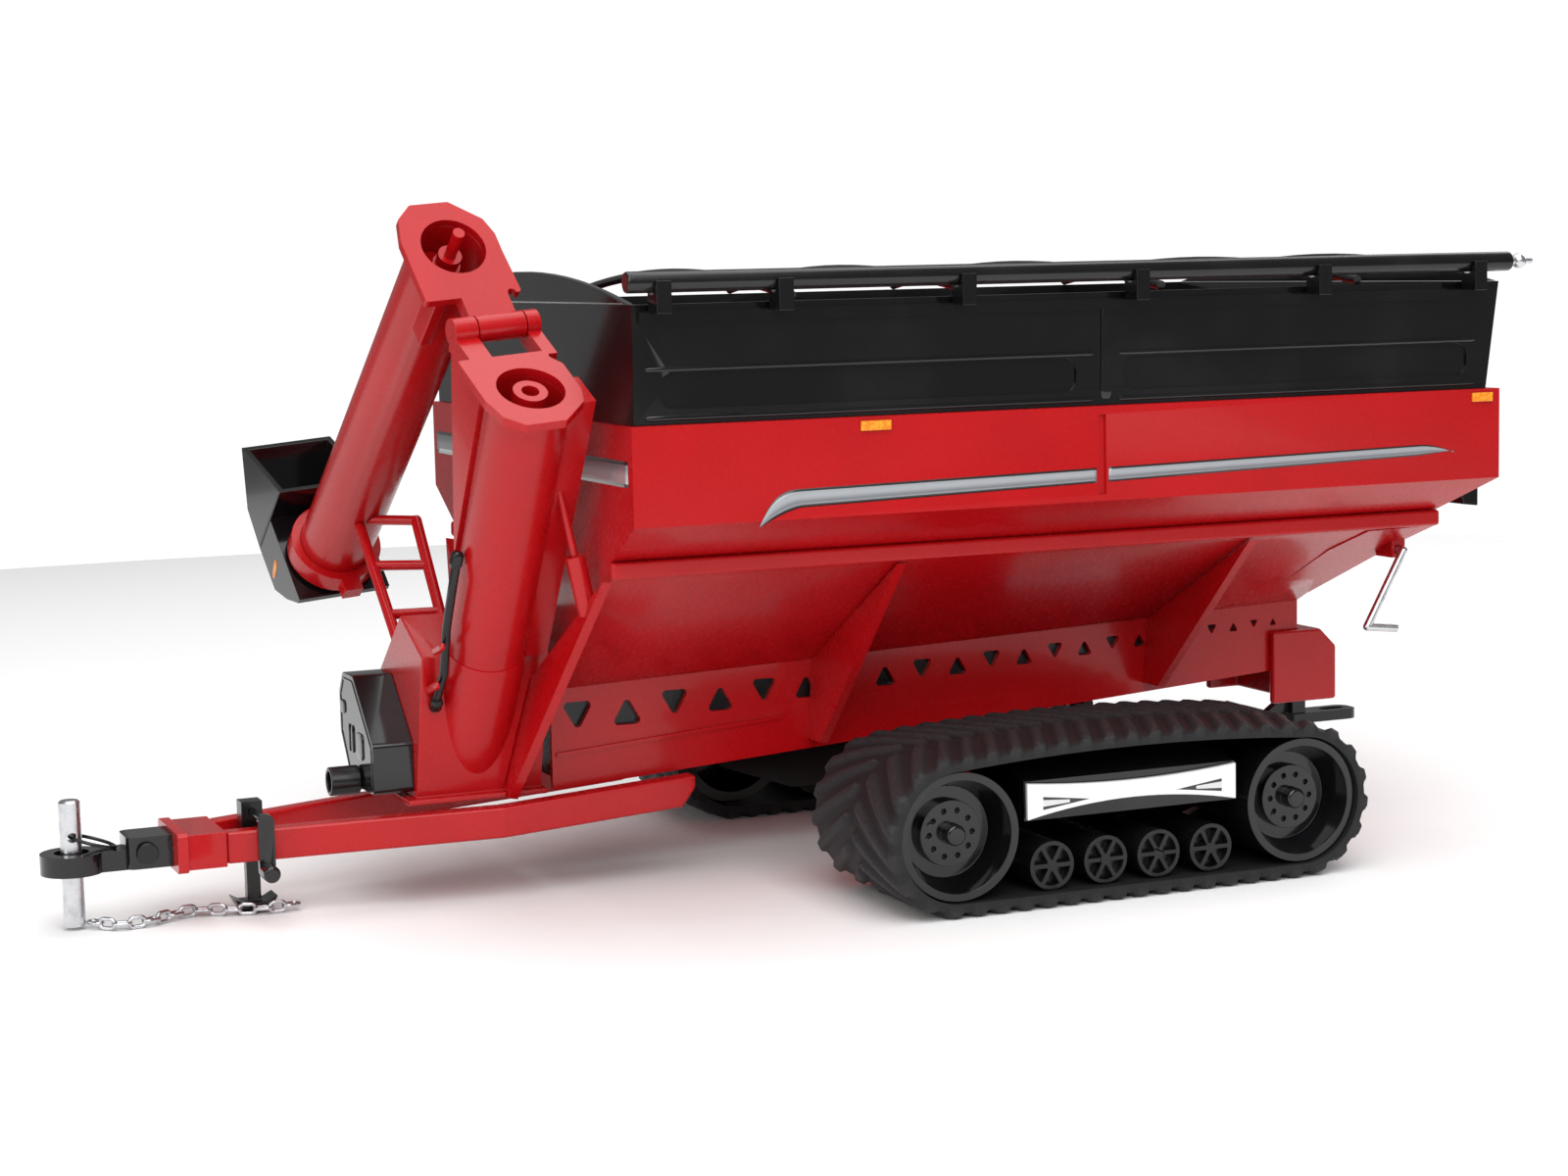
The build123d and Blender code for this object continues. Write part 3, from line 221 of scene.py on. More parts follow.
def beltRubber(name="beltRubber"):
    # soft dark rubber: lug tops are rubbed paler, and mould grain covers everything
    made = Finish(name, **{"Base Color": rubberLook["colour"], "Specular IOR Level": rubberLook["specular"]})
    grain = made.noise(3.2, 4.0, 0.6)
    worn = made.attribute("lugHeight") * made.step(grain, 0.45, 0.3)
    made.feed("Base Color", made.blend(worn, rubberLook["colour"], rubberLook["worn"]))
    made.feed("Roughness", grain * 0.2 + (rubberLook["roughness"] - 0.1))
    made.bump(grain, rubberLook["grain"])
    return made


metalLook = {"zinc": (0.66, 0.67, 0.69, 1), "dull": (0.44, 0.44, 0.46, 1), "roughness": 0.26, "hammer": 0.02}


def brightMetal(name="brightMetal"):
    # barrel-plated steel: small dull spots and a soft hammered surface
    made = Finish(name, **{"Base Color": metalLook["zinc"], "Metallic": 1.0})
    cloud = made.noise(0.5, 4.0, 0.6)
    made.feed("Base Color", made.blend(made.step(cloud, 0.6, 0.25), metalLook["zinc"], metalLook["dull"]))
    made.feed("Roughness", cloud * 0.25 + (metalLook["roughness"] - 0.1))
    made.bump(made.noise(1.4, 2.0), metalLook["hammer"])
    return made


amberLook = {"colour": (0.95, 0.36, 0.015, 1), "deep": (0.80, 0.22, 0.01, 1), "cellsPerMillimetre": 2.6,
             "cellDepth": 0.02}


def amberLens(name="amberLens"):
    # printed amber: prism cells show as a fine chequer of paler and deeper orange
    made = Finish(name, **{"Base Color": amberLook["colour"], "Roughness": 0.3, "Coat Weight": 0.4})
    cells = made.node("ShaderNodeTexVoronoi", None,
                      {"Vector": made.objectPlace(), "Scale": amberLook["cellsPerMillimetre"] * metre})
    cell = Wire(made, cells.outputs["Distance"])
    made.feed("Base Color", made.blend(made.step(cell, 0.45, 0.3), amberLook["colour"], amberLook["deep"]))
    made.bump(cell, amberLook["cellDepth"])
    return made


# the shade colour is a darker copy of the silver, used as painted shade across the band
stripeLook = {"silver": (0.50, 0.52, 0.55, 1), "shade": (0.24, 0.25, 0.27, 1), "edge": (0.006, 0.006, 0.006, 1),
              "outline": 0.14, "metallic": 0.55}


def stripeFilm(name="stripeFilm"):
    # a printed silver band with a black outline, and painted shade that darkens the silver over the part of the band
    # where the texture coordinate is low; the texture coordinate used runs across the band
    made = Finish(name, **{"Base Color": stripeLook["silver"], "Roughness": 0.3, "Coat Weight": 0.6})
    across = made.across()
    fromMiddle = abs(across - 0.5)
    outline = made.step(fromMiddle, 0.5 - stripeLook["outline"], 0.03)
    # painted shade: the silver changes over to its darker copy across the band's width
    paintedShadeMix = made.blend(made.step(across, 0.42, 0.35), stripeLook["shade"], stripeLook["silver"])
    made.feed("Base Color", made.blend(outline, paintedShadeMix, stripeLook["edge"]))
    made.feed("Metallic", stripeLook["metallic"] * (1.0 - outline))
    return made


panelLook = {"white": (0.86, 0.87, 0.88, 1), "mark": (0.02, 0.02, 0.022, 1), "start": 4.6, "end": 9.6,
             "half": 0.62, "drop": 0.25, "innerStart": 2.2}


def panelFace(name="panelFace"):
    # a bright panel with one thin dark wedge at each end, which opens outwards and has a pale core
    made = Finish(name, **{"Base Color": panelLook["white"], "Roughness": 0.22, "Metallic": 0.25, "Coat Weight": 0.5})
    look = panelLook
    x, _, z = made.axes()
    low, high = nodeBox("track_panel_left")
    fromMiddle = abs(x - (low[0] + high[0]) / 2)
    share = (fromMiddle - look["start"]) / (look["end"] - look["start"])
    away = abs(z - ((low[2] + high[2]) / 2 - look["drop"]))
    wedge = made.step(share * look["half"] - away, 0.0, 0.06)
    wedge = wedge * (1.0 - made.step(fromMiddle, look["end"], 0.06)) * made.step(fromMiddle, look["start"], 0.06)
    inner = made.step(share * look["half"] * 0.5 - away, 0.0, 0.05)
    inner = inner * made.step(fromMiddle, look["start"] + look["innerStart"], 0.1)
    made.feed("Base Color", made.blend(wedge * (1.0 - inner * 0.8), look["white"], look["mark"]))
    made.feed("Roughness", made.noise(0.8, 3.0) * 0.12 + 0.16)
    return made


finishes["red"] = redPaint()
finishes["gloss"] = blackPlastic("blackGloss", 0.13, 0.0010, 0.3)
finishes["satin"] = blackPlastic("blackSatin", 0.28, 0.0010, 0.1)
finishes["tarp"] = blackPlastic("tarpVinyl", 0.22, 0.0060, 0.2)
finishes["rubber"] = beltRubber()
finishes["metal"] = brightMetal()
finishes["amber"] = amberLens()
finishes["stripe"] = stripeFilm()
finishes["panel"] = panelFace()
finishes["clip"] = redPaint("darkClip")
finishes["lens"] = redPaint("lampLens")
print("finishes made:", len(finishes))


# ---- helpers for meshes

def newObject(name, mesh, finish):
    made = bpy.data.objects.new(name, mesh)
    bpy.context.scene.collection.objects.link(made)
    mesh.materials.clear()
    mesh.materials.append(finishes[finish].material)
    return made


def gridMesh(name, points, finish, closeU=False, closeV=False, uv=None, smooth=40):
    # points is rows x columns x 3 in metres; each cell of the grid becomes one quad
    rows, columns = points.shape[:2]
    u = np.arange(rows if closeU else rows - 1)
    v = np.arange(columns if closeV else columns - 1)
    ui, vi = np.meshgrid(u, v, indexing="ij")
    un, vn = (ui + 1) % rows, (vi + 1) % columns
    corners = (ui * columns + vi, un * columns + vi, un * columns + vn, ui * columns + vn)
    quads = np.stack(corners, axis=-1).reshape(-1, 4)
    mesh = bpy.data.meshes.new(name)
    mesh.vertices.add(rows * columns)
    mesh.vertices.foreach_set("co", points.reshape(-1).astype(np.float32))
    mesh.loops.add(quads.size)
    mesh.loops.foreach_set("vertex_index", quads.reshape(-1).astype(np.int32))
    mesh.polygons.add(len(quads))
    mesh.polygons.foreach_set("loop_start", np.arange(0, quads.size, 4, dtype=np.int32))
    mesh.update(calc_edges=True)
    if uv is not None:
        layer = mesh.uv_layers.new(name="UVMap")
        layer.data.foreach_set("uv", uv.reshape(-1, 2)[quads.reshape(-1)].reshape(-1).astype(np.float32))
    mesh.validate()
    mesh.shade_smooth()
    mesh.set_sharp_from_angle(angle=math.radians(smooth))
    return newObject(name, mesh, finish)


joints = {joint["name"]: joint for joint in frame["record"]["behaviour"]["joints"]}


def unit(vector):
    vector = np.asarray(vector, float)
    return vector / np.linalg.norm(vector, axis=-1, keepdims=True)


def augerPoints(joint, points):
    # millimetres in a tube's own frame, whose z runs along the screw and whose x lies along the fold axis
    z = unit(joints[joint]["axis"])
    x = unit(joints["auger_fold"]["axis"])
    y = np.cross(z, x)
    return np.asarray(joints[joint]["pos_m"]) + (np.asarray(points, float) @ np.stack((x, y, z))) * mm


def outward(made):
    # faces are turned to point out of the closed shell
    work = bmesh.new()
    work.from_mesh(made.data)
    bmesh.ops.remove_doubles(work, verts=work.verts, dist=1e-7)
    bmesh.ops.recalc_face_normals(work, faces=work.faces)
    work.to_mesh(made.data)
    work.free()


stripEnd = {"sides": 20, "tip": 0.35, "near": 0.12, "nearSize": 0.72, "sharp": 50}


def strip(name, path, width, height, up, finish, slot, body, box=5.0):
    # a squared-off oval carried along a path in metres, whose size falls to nothing over the tip at each end:
    # across and lift are the cosine and sine of the turn, each to the power 2 / box, so a higher box is squarer
    start, end = unit(path[1] - path[0]), unit(path[-1] - path[-2])
    tip, near = stripEnd["tip"] * mm, stripEnd["tip"] * stripEnd["near"] * mm
    path = np.concatenate((path[:1], path[:1] + start * near, path[:1] + start * tip, path[1:-1],
                           path[-1:] - end * tip, path[-1:] - end * near, path[-1:]))
    size = np.ones(len(path))
    size[:2] = size[-2:][::-1] = (0.0, stripEnd["nearSize"])
    along = unit(np.gradient(path, axis=0))
    side = unit(np.cross(np.broadcast_to(unit(up), along.shape), along))
    rise = np.cross(along, side)
    turn = np.linspace(0, 2 * math.pi, stripEnd["sides"], endpoint=False)
    across = np.sign(np.cos(turn)) * np.abs(np.cos(turn)) ** (2 / box) * width / 2 * mm
    lift = np.sign(np.sin(turn)) * np.abs(np.sin(turn)) ** (2 / box) * height / 2 * mm
    offset = across[None, :, None] * side[:, None, :] + lift[None, :, None] * rise[:, None, :]
    made = gridMesh(name, path[:, None, :] + offset * size[:, None, None], finish, closeV=True)
    outward(made)
    made.data.shade_smooth()
    made.data.set_sharp_from_angle(angle=math.radians(stripEnd["sharp"]))
    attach(made, body)


def line(start, end, count=12):
    # evenly spaced points from start to end, both in millimetres on the cart
    share = np.linspace(0, 1, count)[:, None]
    return place(np.asarray(start, float) * (1 - share) + np.asarray(end, float) * share)


def softened(node, finish, edge, segments=2, angle=32):
    # the CAD shape with its sharp edges rounded, as paint and moulding round them
    source = frame["nodes"][node]
    mesh = source.data.copy()
    mesh.name = node + "_skin"
    work = bmesh.new()
    work.from_mesh(mesh)
    bmesh.ops.remove_doubles(work, verts=work.verts, dist=2e-7)
    bmesh.ops.dissolve_limit(work, angle_limit=math.radians(0.6), verts=work.verts, edges=work.edges)
    work.to_mesh(mesh)
    work.free()
    mesh.shade_smooth()
    mesh.set_sharp_from_angle(angle=math.radians(angle))
    made = newObject(node + "_skin", mesh, finish)
    if edge:
        bevel = made.modifiers.new("roundedEdges", "BEVEL")
        bevel.width = edge * mm
        bevel.segments = segments
        bevel.limit_method = "ANGLE"
        bevel.angle_limit = math.radians(angle)
        bevel.use_clamp_overlap = True
        bevel.harden_normals = True
    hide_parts(node)
    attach(made, bodyOf[node])


# ---- every CAD piece gets its finish, and a rounded skin where its edges catch the light

skins = {
    "hopper_tub": ("red", 0.25), "ridge_rails": ("red", 0.3), "side_gussets": ("red", 0.2),
    "frame_rails": ("red", 0.12), "rear_frame": ("red", 0.3), "axle_beam": ("red", 0.3),
    "tongue_beams": ("red", 0.3), "tongue_nose": ("red", 0.3), "auger_boot": ("red", 0.35),
    "lower_tube": ("red", 0.2), "lower_flange": ("red", 0.2), "upper_flange": ("red", 0.2),
    "upper_tube": ("red", 0.15), "spout_collar": ("red", 0.2), "auger_rest": ("red", 0),
    "lower_flighting": ("red", 0), "upper_flighting": ("red", 0), "hinge_pin": ("red", 0),
    "fold_brace": ("red", 0),
    "hopper_extension": ("gloss", 0.3), "end_bulkheads": ("gloss", 0.2), "spout_hood": ("gloss", 0.45),
    "gearbox": ("gloss", 0.3), "rail_core": ("satin", 0), "rear_hitch": ("satin", 0.25),
    "rear_lamps": ("gloss", 0.25), "hitch_casting": ("gloss", 0.3), "hitch_bolt": ("satin", 0.1),
    "jack_sleeve": ("satin", 0.2), "jack_leg": ("satin", 0.15), "jack_crank": ("gloss", 0.15),
    "pto_stub": ("satin", 0.15), "hydraulic_hose": ("satin", 0), "pin_ring": ("satin", 0),
    "tarp_bows": ("satin", 0), "tarp_latches": ("gloss", 0.15), "tarp_roll": ("tarp", 0.2),
    "hitch_pin": ("metal", 0.15), "safety_chain": ("metal", 0), "tarp_crank": ("metal", 0),
    "roll_knob": ("metal", 0), "side_reflectors": ("amber", 0.08),
}
for side in ("left", "right"):
    skins["track_frame_" + side] = ("gloss", 0.25)
    skins["track_panel_" + side] = ("panel", 0.12)
    for wheel in ("front_wheel_", "rear_wheel_"):
        skins[wheel + side] = ("gloss", 0.2)
    for number in range(1, 5):
        skins["roller_%d_%s" % (number, side)] = ("satin", 0.1)

for node, (finish, edge) in skins.items():
    if edge:
        softened(node, finish, edge)
    else:
        for held in frame["nodes"][node].material_slots:
            held.material = finishes[finish].material
print("skins made:", sum(1 for look in skins.values() if look[1]))


# ---- rubber belts

beltShape = {"thickness": 0.95, "lug": 0.45, "arch": 0.8, "lugs": 46, "share": 0.46, "slant": 1.7,
             "around": 16, "across": 37, "back": 9, "edgeRound": 0.25, "edgeStart": 0.94, "groove": 0.05,
             "ramp": 0.16}


def beltLoop(side):
    # the inner line goes along the ground, half round the front wheel, back over a low arch and half round
    # the rear wheel; the tread stands out of it along its normal by the belt's thickness, plus the lug height
    # times a smooth saw wave of the distance along, slanted outwards and shifted by half a pitch on one side
    size = beltShape
    low, high = nodeBox("belt_" + side)
    frontLow, frontHigh = nodeBox("front_wheel_" + side)
    rearLow, rearHigh = nodeBox("rear_wheel_" + side)
    frontX, rearX = (frontLow[0] + frontHigh[0]) / 2, (rearLow[0] + rearHigh[0]) / 2
    hubZ = (frontLow[2] + frontHigh[2]) / 2
    inner = hubZ - low[2] - size["lug"] - size["thickness"]
    run = frontX - rearX
    archRadius = (size["arch"] ** 2 + (run / 2) ** 2) / (2 * size["arch"])
    archHalf = math.asin(run / 2 / archRadius)
    spans = np.array((run, math.pi * inner, 2 * archRadius * archHalf, math.pi * inner))
    total = spans.sum()
    count = size["lugs"] * size["around"]
    s = np.arange(count) * total / count
    starts = np.concatenate(((0,), np.cumsum(spans)))
    px, pz, nx, nz = (np.zeros(count) for _ in range(4))
    ground = s < starts[1]
    px[ground], pz[ground], nz[ground] = rearX + s[ground], hubZ - inner, -1
    nose = (s >= starts[1]) & (s < starts[2])
    turn = -math.pi / 2 + (s[nose] - starts[1]) / inner
    nx[nose], nz[nose] = np.cos(turn), np.sin(turn)
    px[nose], pz[nose] = frontX + inner * nx[nose], hubZ + inner * nz[nose]
    over = (s >= starts[2]) & (s < starts[3])
    turn = archHalf - (s[over] - starts[2]) / archRadius
    archZ = hubZ + inner + size["arch"] - archRadius
    nx[over], nz[over] = np.sin(turn), np.cos(turn)
    px[over], pz[over] = (frontX + rearX) / 2 + archRadius * nx[over], archZ + archRadius * nz[over]
    tail = s >= starts[3]
    turn = math.pi / 2 + (s[tail] - starts[3]) / inner
    nx[tail], nz[tail] = np.cos(turn), np.sin(turn)
    px[tail], pz[tail] = rearX + inner * nx[tail], hubZ + inner * nz[tail]

    w = np.linspace(-1, 1, size["across"])                       # across the tread
    pitch = total / size["lugs"]
    phase = s[:, None] / pitch + size["slant"] * np.abs(w)[None, :] + 0.5 * (w > 0)[None, :]
    saw = np.abs((phase % 1.0) - 0.5) * 2                        # 0 in the middle of a lug, 1 between two
    lug = np.clip((size["share"] + size["ramp"] - saw) / (2 * size["ramp"]), 0, 1)
    lug = lug * lug * (3 - 2 * lug)
    lug = lug * np.clip((np.abs(w) - size["groove"]) / 0.06, 0, 1)[None, :]
    edgeDrop = size["edgeRound"] * np.clip((np.abs(w) - size["edgeStart"]) / (1 - size["edgeStart"]), 0, 1) ** 2
    height = size["thickness"] + size["lug"] * lug - edgeDrop[None, :]
    halfWidth, centreY = (high[1] - low[1]) / 2, (high[1] + low[1]) / 2
    outerY = np.broadcast_to(centreY + halfWidth * w, height.shape)
    inside = np.zeros((count, size["back"]))                     # the smooth side that runs on the wheels
    innerY = inside + centreY + halfWidth * np.linspace(1, -1, size["back"])
    lift = np.concatenate((height, inside), axis=1)
    y = np.concatenate((outerY, innerY), axis=1)
    points = np.stack((px[:, None] + nx[:, None] * lift, y, pz[:, None] + nz[:, None] * lift), axis=-1)
    made = gridMesh("belt_" + side + "_tread", place(points), "rubber", closeU=True, closeV=True, smooth=55)
    shade = np.concatenate((lug, inside), axis=1).reshape(-1)
    mark = made.data.attributes.new("lugHeight", "FLOAT", "POINT")
    mark.data.foreach_set("value", shade.astype(np.float32))
    outward(made)
    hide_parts("belt_" + side)
    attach(made, "track_" + side)
    return made


for side in ("left", "right"):
    belt = beltLoop(side)
    print("belt", side, len(belt.data.polygons), "faces")


# ---- printed stripes on the hopper

bandShape = {"start": -11.9, "seam": -46.8, "seamGap": 1.3, "end": -86.5, "startZ": (38.05, 39.75),
             "endZ": (39.8, 40.8), "hook": 4.2, "drop": 1.5, "topDrop": 3.1, "point": 4.0, "tip": 0.12,
             "film": 0.03, "thickness": 0.018}
bothSides = (("left", 1), ("right", -1))


def ribbon(name, points):
    # points is along x across x 3 in metres, in order so that its faces look outwards
    rows, columns = points.shape[:2]
    uv = np.stack(np.meshgrid(np.linspace(0, 1, rows), np.linspace(0, 1, columns), indexing="ij"), axis=-1)
    made = gridMesh(name, points, "stripe", uv=uv)
    film = made.modifiers.new("film", "SOLIDIFY")
    film.thickness = bandShape["thickness"] * mm
    film.offset = -1
    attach(made, "chassis")


def wallBand(name, side, first, last, hook, point):
    # both edges are straight lines; the front end is drawn down into a hook, and the rear end runs to a point
    size = bandShape
    x = first + (last - first) * np.linspace(0, 1, 120)
    share = (x - size["start"]) / (size["end"] - size["start"])
    low = size["startZ"][0] + (size["endZ"][0] - size["startZ"][0]) * share
    high = size["startZ"][1] + (size["endZ"][1] - size["startZ"][1]) * share
    if hook:
        left = np.clip(1 - (first - x) / size["hook"], 0, 1)
        low, high = low - size["drop"] * left ** 1.5, high - size["topDrop"] * left ** 3
    if point:
        left = np.clip(1 - (x - last) / size["point"], 0, 1)
        low, high = low + 0.25 * left, high - (high - low - size["tip"]) * left ** 2 - 0.1 * left
    z = np.linspace(low, high, 5, axis=1)
    half = (tubHigh[1] - tubLow[1]) / 2 / mm + size["film"]
    points = np.stack((np.broadcast_to(x[:, None], z.shape), np.full(z.shape, side * half), z), axis=-1)
    ribbon(name, place(points if side > 0 else points[:, ::-1]))


for sideName, side in bothSides:
    seam, gap = bandShape["seam"], bandShape["seamGap"] / 2
    wallBand("stripe_front_" + sideName, side, bandShape["start"], seam + gap, True, False)
    wallBand("stripe_rear_" + sideName, side, seam - gap, bandShape["end"], False, True)

frontBand = {"half": 29.6, "low": 40.6, "high": 42.9}
y, z = np.meshgrid(np.linspace(frontBand["half"], -frontBand["half"], 60),
                   np.linspace(frontBand["high"], frontBand["low"], 5), indexing="ij")
ribbon("stripe_front_wall", place(np.stack((np.full(y.shape, bandShape["film"]), y, z), axis=-1)))
print("stripes made")


# ---- sideboards: seam strip, crease, and the bead along the foot on both sides

boardShape = {"seam": -47.6, "seamSize": (1.1, 0.42), "seamRoom": 1.4, "crease": 50.9, "creaseSize": (0.42, 0.26),
              "bead": 46.6, "beadSize": (0.5, 0.3), "top": 55.2, "ends": (-1.6, -89.4), "inset": 0.75, "lean": 0.04}
boardLow, boardHigh = nodeBox("hopper_extension")


def boardY(z):
    # the outer face leans out evenly from its foot to its top
    return boardHigh[1] - boardShape["inset"] + boardShape["lean"] * (z - boardLow[2])


for sideName, side in bothSides:
    size = boardShape
    outwards = (0, side, 0)
    foot, top = ((size["seam"], side * boardY(z), z) for z in (size["bead"], size["top"]))
    strip("board_seam_" + sideName, line(foot, top), *size["seamSize"], outwards, "gloss", "black_gloss", "chassis")
    halves = (("front", size["ends"][0], size["seam"] + size["seamRoom"]),
              ("rear", size["seam"] - size["seamRoom"], size["ends"][1]))
    for end, x0, x1 in halves:
        for kind, box in (("crease", 2.2), ("bead", 2.5)):
            z = size[kind]
            y = side * boardY(z)
            strip("board_%s_%s_%s" % (kind, end, sideName), line((x0, y, z), (x1, y, z), 24), *size[kind + "Size"],
                  outwards, "gloss", "black_gloss", "chassis", box=box)
print("sideboard strips made")


# ---- gearbox relief, on its front face

reliefShape = {"proud": 0.16, "rimSize": (0.34, 0.18),
               "bars": [((-6.0, 18.0), (-4.2, 18.0), 1.3), ((-2.9, 13.9), (-2.9, 16.6), 0.55),
                        ((-1.7, 13.9), (-1.7, 16.6), 0.55), ((0.9, 13.6), (0.9, 16.2), 2.2)],
               "rim": [(-2.9, 11.5), (-5.9, 15.6), (-5.9, 19.2), (-4.7, 20.8), (-1.4, 20.8), (4.8, 15.3),
                       (4.8, 11.5)]}
gearFront = nodeBox("gearbox")[1][0]
for number, (start, end, width) in enumerate(reliefShape["bars"], 1):
    strip("gearbox_pad_%d" % number, line((gearFront, *start), (gearFront, *end), 4), width,
          2 * reliefShape["proud"], (1, 0, 0), "gloss", "black_gloss", "chassis", box=6)
for number, (start, end) in enumerate(zip(reliefShape["rim"], reliefShape["rim"][1:]), 1):
    strip("gearbox_rim_%d" % number, line((gearFront, *start), (gearFront, *end), 6), *reliefShape["rimSize"],
          (1, 0, 0), "gloss", "black_gloss", "chassis", box=2.2)
print("gearbox relief made")


# ---- auger: sleeve round the lower tube, hose clips and hose ends

sleeveShape = {"top": -29.5, "wall": 0.16, "tube": 3.75, "sunk": 0.05, "chamfer": 0.06, "floor": 10.6,
               "around": 72}


def lowerSleeve():
    # a shell round the tube: its top edge is level on the tube, and its foot is cut where the floor plate is
    size = sleeveShape
    turn = np.linspace(0, 2 * math.pi, size["around"], endpoint=False)
    rise = unit(joints["lower_screw_spin"]["axis"])[2]
    outer, inner = size["tube"] + size["wall"], size["tube"] - size["sunk"]
    rings = []
    for radius, share in ((inner, 0), (outer - size["chamfer"], 0), (outer, 0.02), (outer, 0.5), (outer, 1),
                          (inner, 1)):
        ring = np.stack((radius * np.cos(turn), radius * np.sin(turn), np.zeros_like(turn)), axis=1)
        height = (augerPoints("lower_screw_spin", ring) / mm)[:, 2]
        foot = (size["floor"] - height) / rise
        ring[:, 2] = size["top"] + share * (foot - size["top"])
        rings.append(augerPoints("lower_screw_spin", ring))
    made = gridMesh("lower_tube_sleeve", np.stack(rings), "red", closeU=True, closeV=True, smooth=30)
    outward(made)
    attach(made, "chassis")


lowerSleeve()

hoseShape = {"clipSize": (0.75, 0.5), "endSize": (1.15, 1.15),
             "clips": [((12.9, 11.2, 24.9), (12.9, 14.4, 25.8)), ((12.9, 8.6, 20.9), (12.9, 12.2, 21.9))],
             "ends": [((11.9, 16.9, 34.7), (12.2, 16.6, 33.1)), ((12.2, 9.6, 20.2), (12.2, 8.3, 19.1))]}
for number, (start, end) in enumerate(hoseShape["clips"], 1):
    strip("hose_clip_%d" % number, line(start, end, 6), *hoseShape["clipSize"], (1, 0, 0), "clip", "red_paint",
          "chassis", box=4)
for number, (start, end) in enumerate(hoseShape["ends"], 1):
    strip("hose_end_%d" % number, line(start, end, 4), *hoseShape["endSize"], (1, 0, 0), "satin", "black_satin",
          "chassis", box=3)
print("auger pieces made")


# ---- spout hood: moulded seams, and the amber mark on its side

hoodShape = {"half": 5.0, "seam": 5.45, "seamSize": (0.3, 0.22), "top": -4.6, "foot": 5.3,
             "amber": ((1.1, 4.7), (1.7, 2.4)), "amberSize": (0.75, 0.12)}


def hoodLine(points):
    # evenly spaced points between two, both in millimetres in the upper tube's frame
    share = np.linspace(0, 1, 10)[:, None]
    start, end = np.asarray(points, float)
    return augerPoints("spout_turn", start * (1 - share) + end * share)


for sideName, side in (("front", 1), ("rear", -1)):
    size = hoodShape
    out = augerPoints("spout_turn", [(side, 0, 0)])[0] - augerPoints("spout_turn", [(0, 0, 0)])[0]
    x = side * size["half"]
    strip("hood_seam_" + sideName, hoodLine(((x, size["seam"], size["top"]), (x, size["seam"], size["foot"]))),
          *size["seamSize"], out, "gloss", "black_gloss", "spout", box=2.2)
    if side > 0:
        ends = [(x, *end) for end in size["amber"]]
        strip("hood_amber", hoodLine(ends), *size["amberSize"], out, "amber", "amber_lens", "spout", box=6)
print("hood pieces made")


# ---- rear lamps: a pair of lenses on each

lensShape = {"places": (20.8, 23.2), "foot": 34.6, "top": 36.0, "sunk": 0.05, "size": (1.5, 0.24)}
lampFace = nodeBox("rear_lamps")[0][0] + lensShape["sunk"]
for sideName, side in bothSides:
    for number, y in enumerate(lensShape["places"], 1):
        ends = [(lampFace, side * y, z) for z in (lensShape["foot"], lensShape["top"])]
        strip("lamp_lens_%s_%d" % (sideName, number), line(*ends, 4), *lensShape["size"], (-1, 0, 0), "lens",
              "red_paint", "chassis", box=3)
print("lamp lenses made")


# ---- camera, lights and floor

view = {"eye": (85.53, 265.23, 60.28), "aim": (-27.20, 0.0, 27.15), "roll": 1.238, "lens": 65.68}


def addCamera():
    lens = bpy.data.cameras.new("camera")
    lens.lens = view["lens"]
    lens.sensor_width = 36.0
    lens.clip_start = 0.01
    lens.clip_end = 20.0
    holder = bpy.data.objects.new("camera", lens)
    bpy.context.scene.collection.objects.link(holder)
    eye, aim = Vector(place(view["eye"])), Vector(place(view["aim"]))
    turn = (aim - eye).to_track_quat("-Z", "Y").to_matrix().to_4x4()
    holder.matrix_world = Matrix.Translation(eye) @ turn @ Matrix.Rotation(-math.radians(view["roll"]), 4, "Z")
    bpy.context.scene.camera = holder


lights = {
    "key": {"place": (60, 330, 330), "size": 420, "power": 1.95},
    "top": {"place": (-60, -60, 520), "size": 520, "power": 1.9},
    "front": {"place": (430, 140, 170), "size": 300, "power": 0.55},
    "rear": {"place": (-430, -160, 260), "size": 300, "power": 0.5},
}


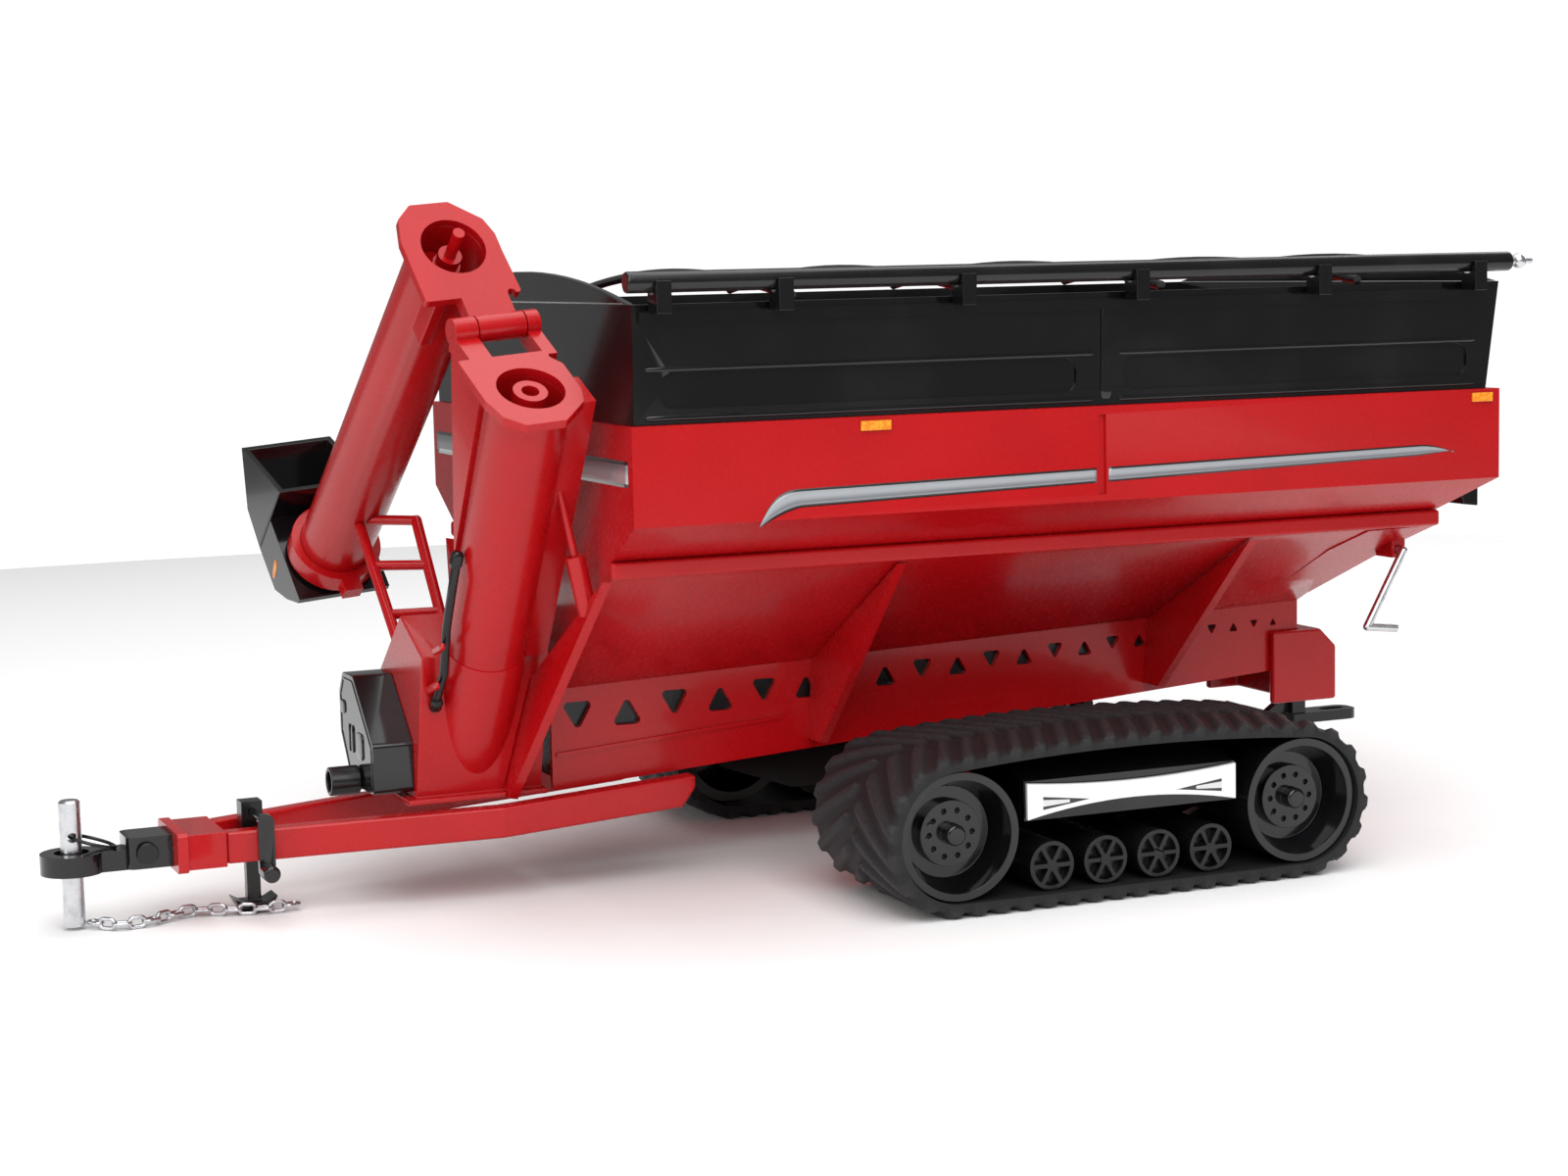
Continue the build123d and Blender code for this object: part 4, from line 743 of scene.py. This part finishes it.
def addLights():
    target = Vector(place((-30, 0, 30)))
    for name, look in lights.items():
        lamp = bpy.data.lights.new(name, "AREA")
        lamp.shape = "SQUARE"
        lamp.size = look["size"] * mm
        lamp.energy = look["power"]
        holder = bpy.data.objects.new(name, lamp)
        bpy.context.scene.collection.objects.link(holder)
        spot = Vector(place(look["place"]))
        holder.matrix_world = Matrix.Translation(spot) @ (target - spot).to_track_quat("-Z", "Y").to_matrix().to_4x4()


studio = {"dim": 0.22, "white": 1.05, "rings": (0.0, 0.1, 0.2, 0.34), "around": 96, "below": 2e-5}


def addStudio():
    # the room is dim where it only lights and mirrors in the paint, and white where the camera looks at it
    world = bpy.data.worlds.new("studio")
    world.use_nodes = True
    tree = world.node_tree
    dim = tree.nodes["Background"]
    dim.inputs["Color"].default_value = (1, 1, 1, 1)
    dim.inputs["Strength"].default_value = studio["dim"]
    white = tree.nodes.new("ShaderNodeBackground")
    white.inputs["Color"].default_value = (1, 1, 1, 1)
    white.inputs["Strength"].default_value = studio["white"]
    ray = tree.nodes.new("ShaderNodeLightPath")
    join = tree.nodes.new("ShaderNodeMixShader")
    tree.links.new(ray.outputs["Is Camera Ray"], join.inputs[0])
    tree.links.new(dim.outputs[0], join.inputs[1])
    tree.links.new(white.outputs[0], join.inputs[2])
    tree.links.new(join.outputs[0], tree.nodes["World Output"].inputs["Surface"])
    bpy.context.scene.world = world
    bpy.context.scene.view_settings.view_transform = "Standard"
    turn = np.linspace(0, 2 * math.pi, studio["around"], endpoint=False)
    radius = np.array(studio["rings"])[:, None]
    x, y = radius * np.cos(turn), radius * np.sin(turn)
    disc = np.stack((x, y, np.full(x.shape, -studio["below"])), axis=-1)
    floor = gridMesh("floor", disc, "red", closeV=True)
    paper = Finish("floorPaper", **{"Base Color": (0.93, 0.93, 0.93, 1), "Roughness": 0.9,
                                    "Specular IOR Level": 0.1})
    paper.feed("Base Color", paper.blend(paper.noise(0.4), (0.94, 0.94, 0.94, 1), (0.92, 0.92, 0.92, 1)))
    floor.data.materials[0] = paper.material
    outward(floor)
    if floor.data.polygons[0].normal.z < 0:
        floor.data.flip_normals()


addCamera()
addLights()
addStudio()
print("camera, lights and floor made")
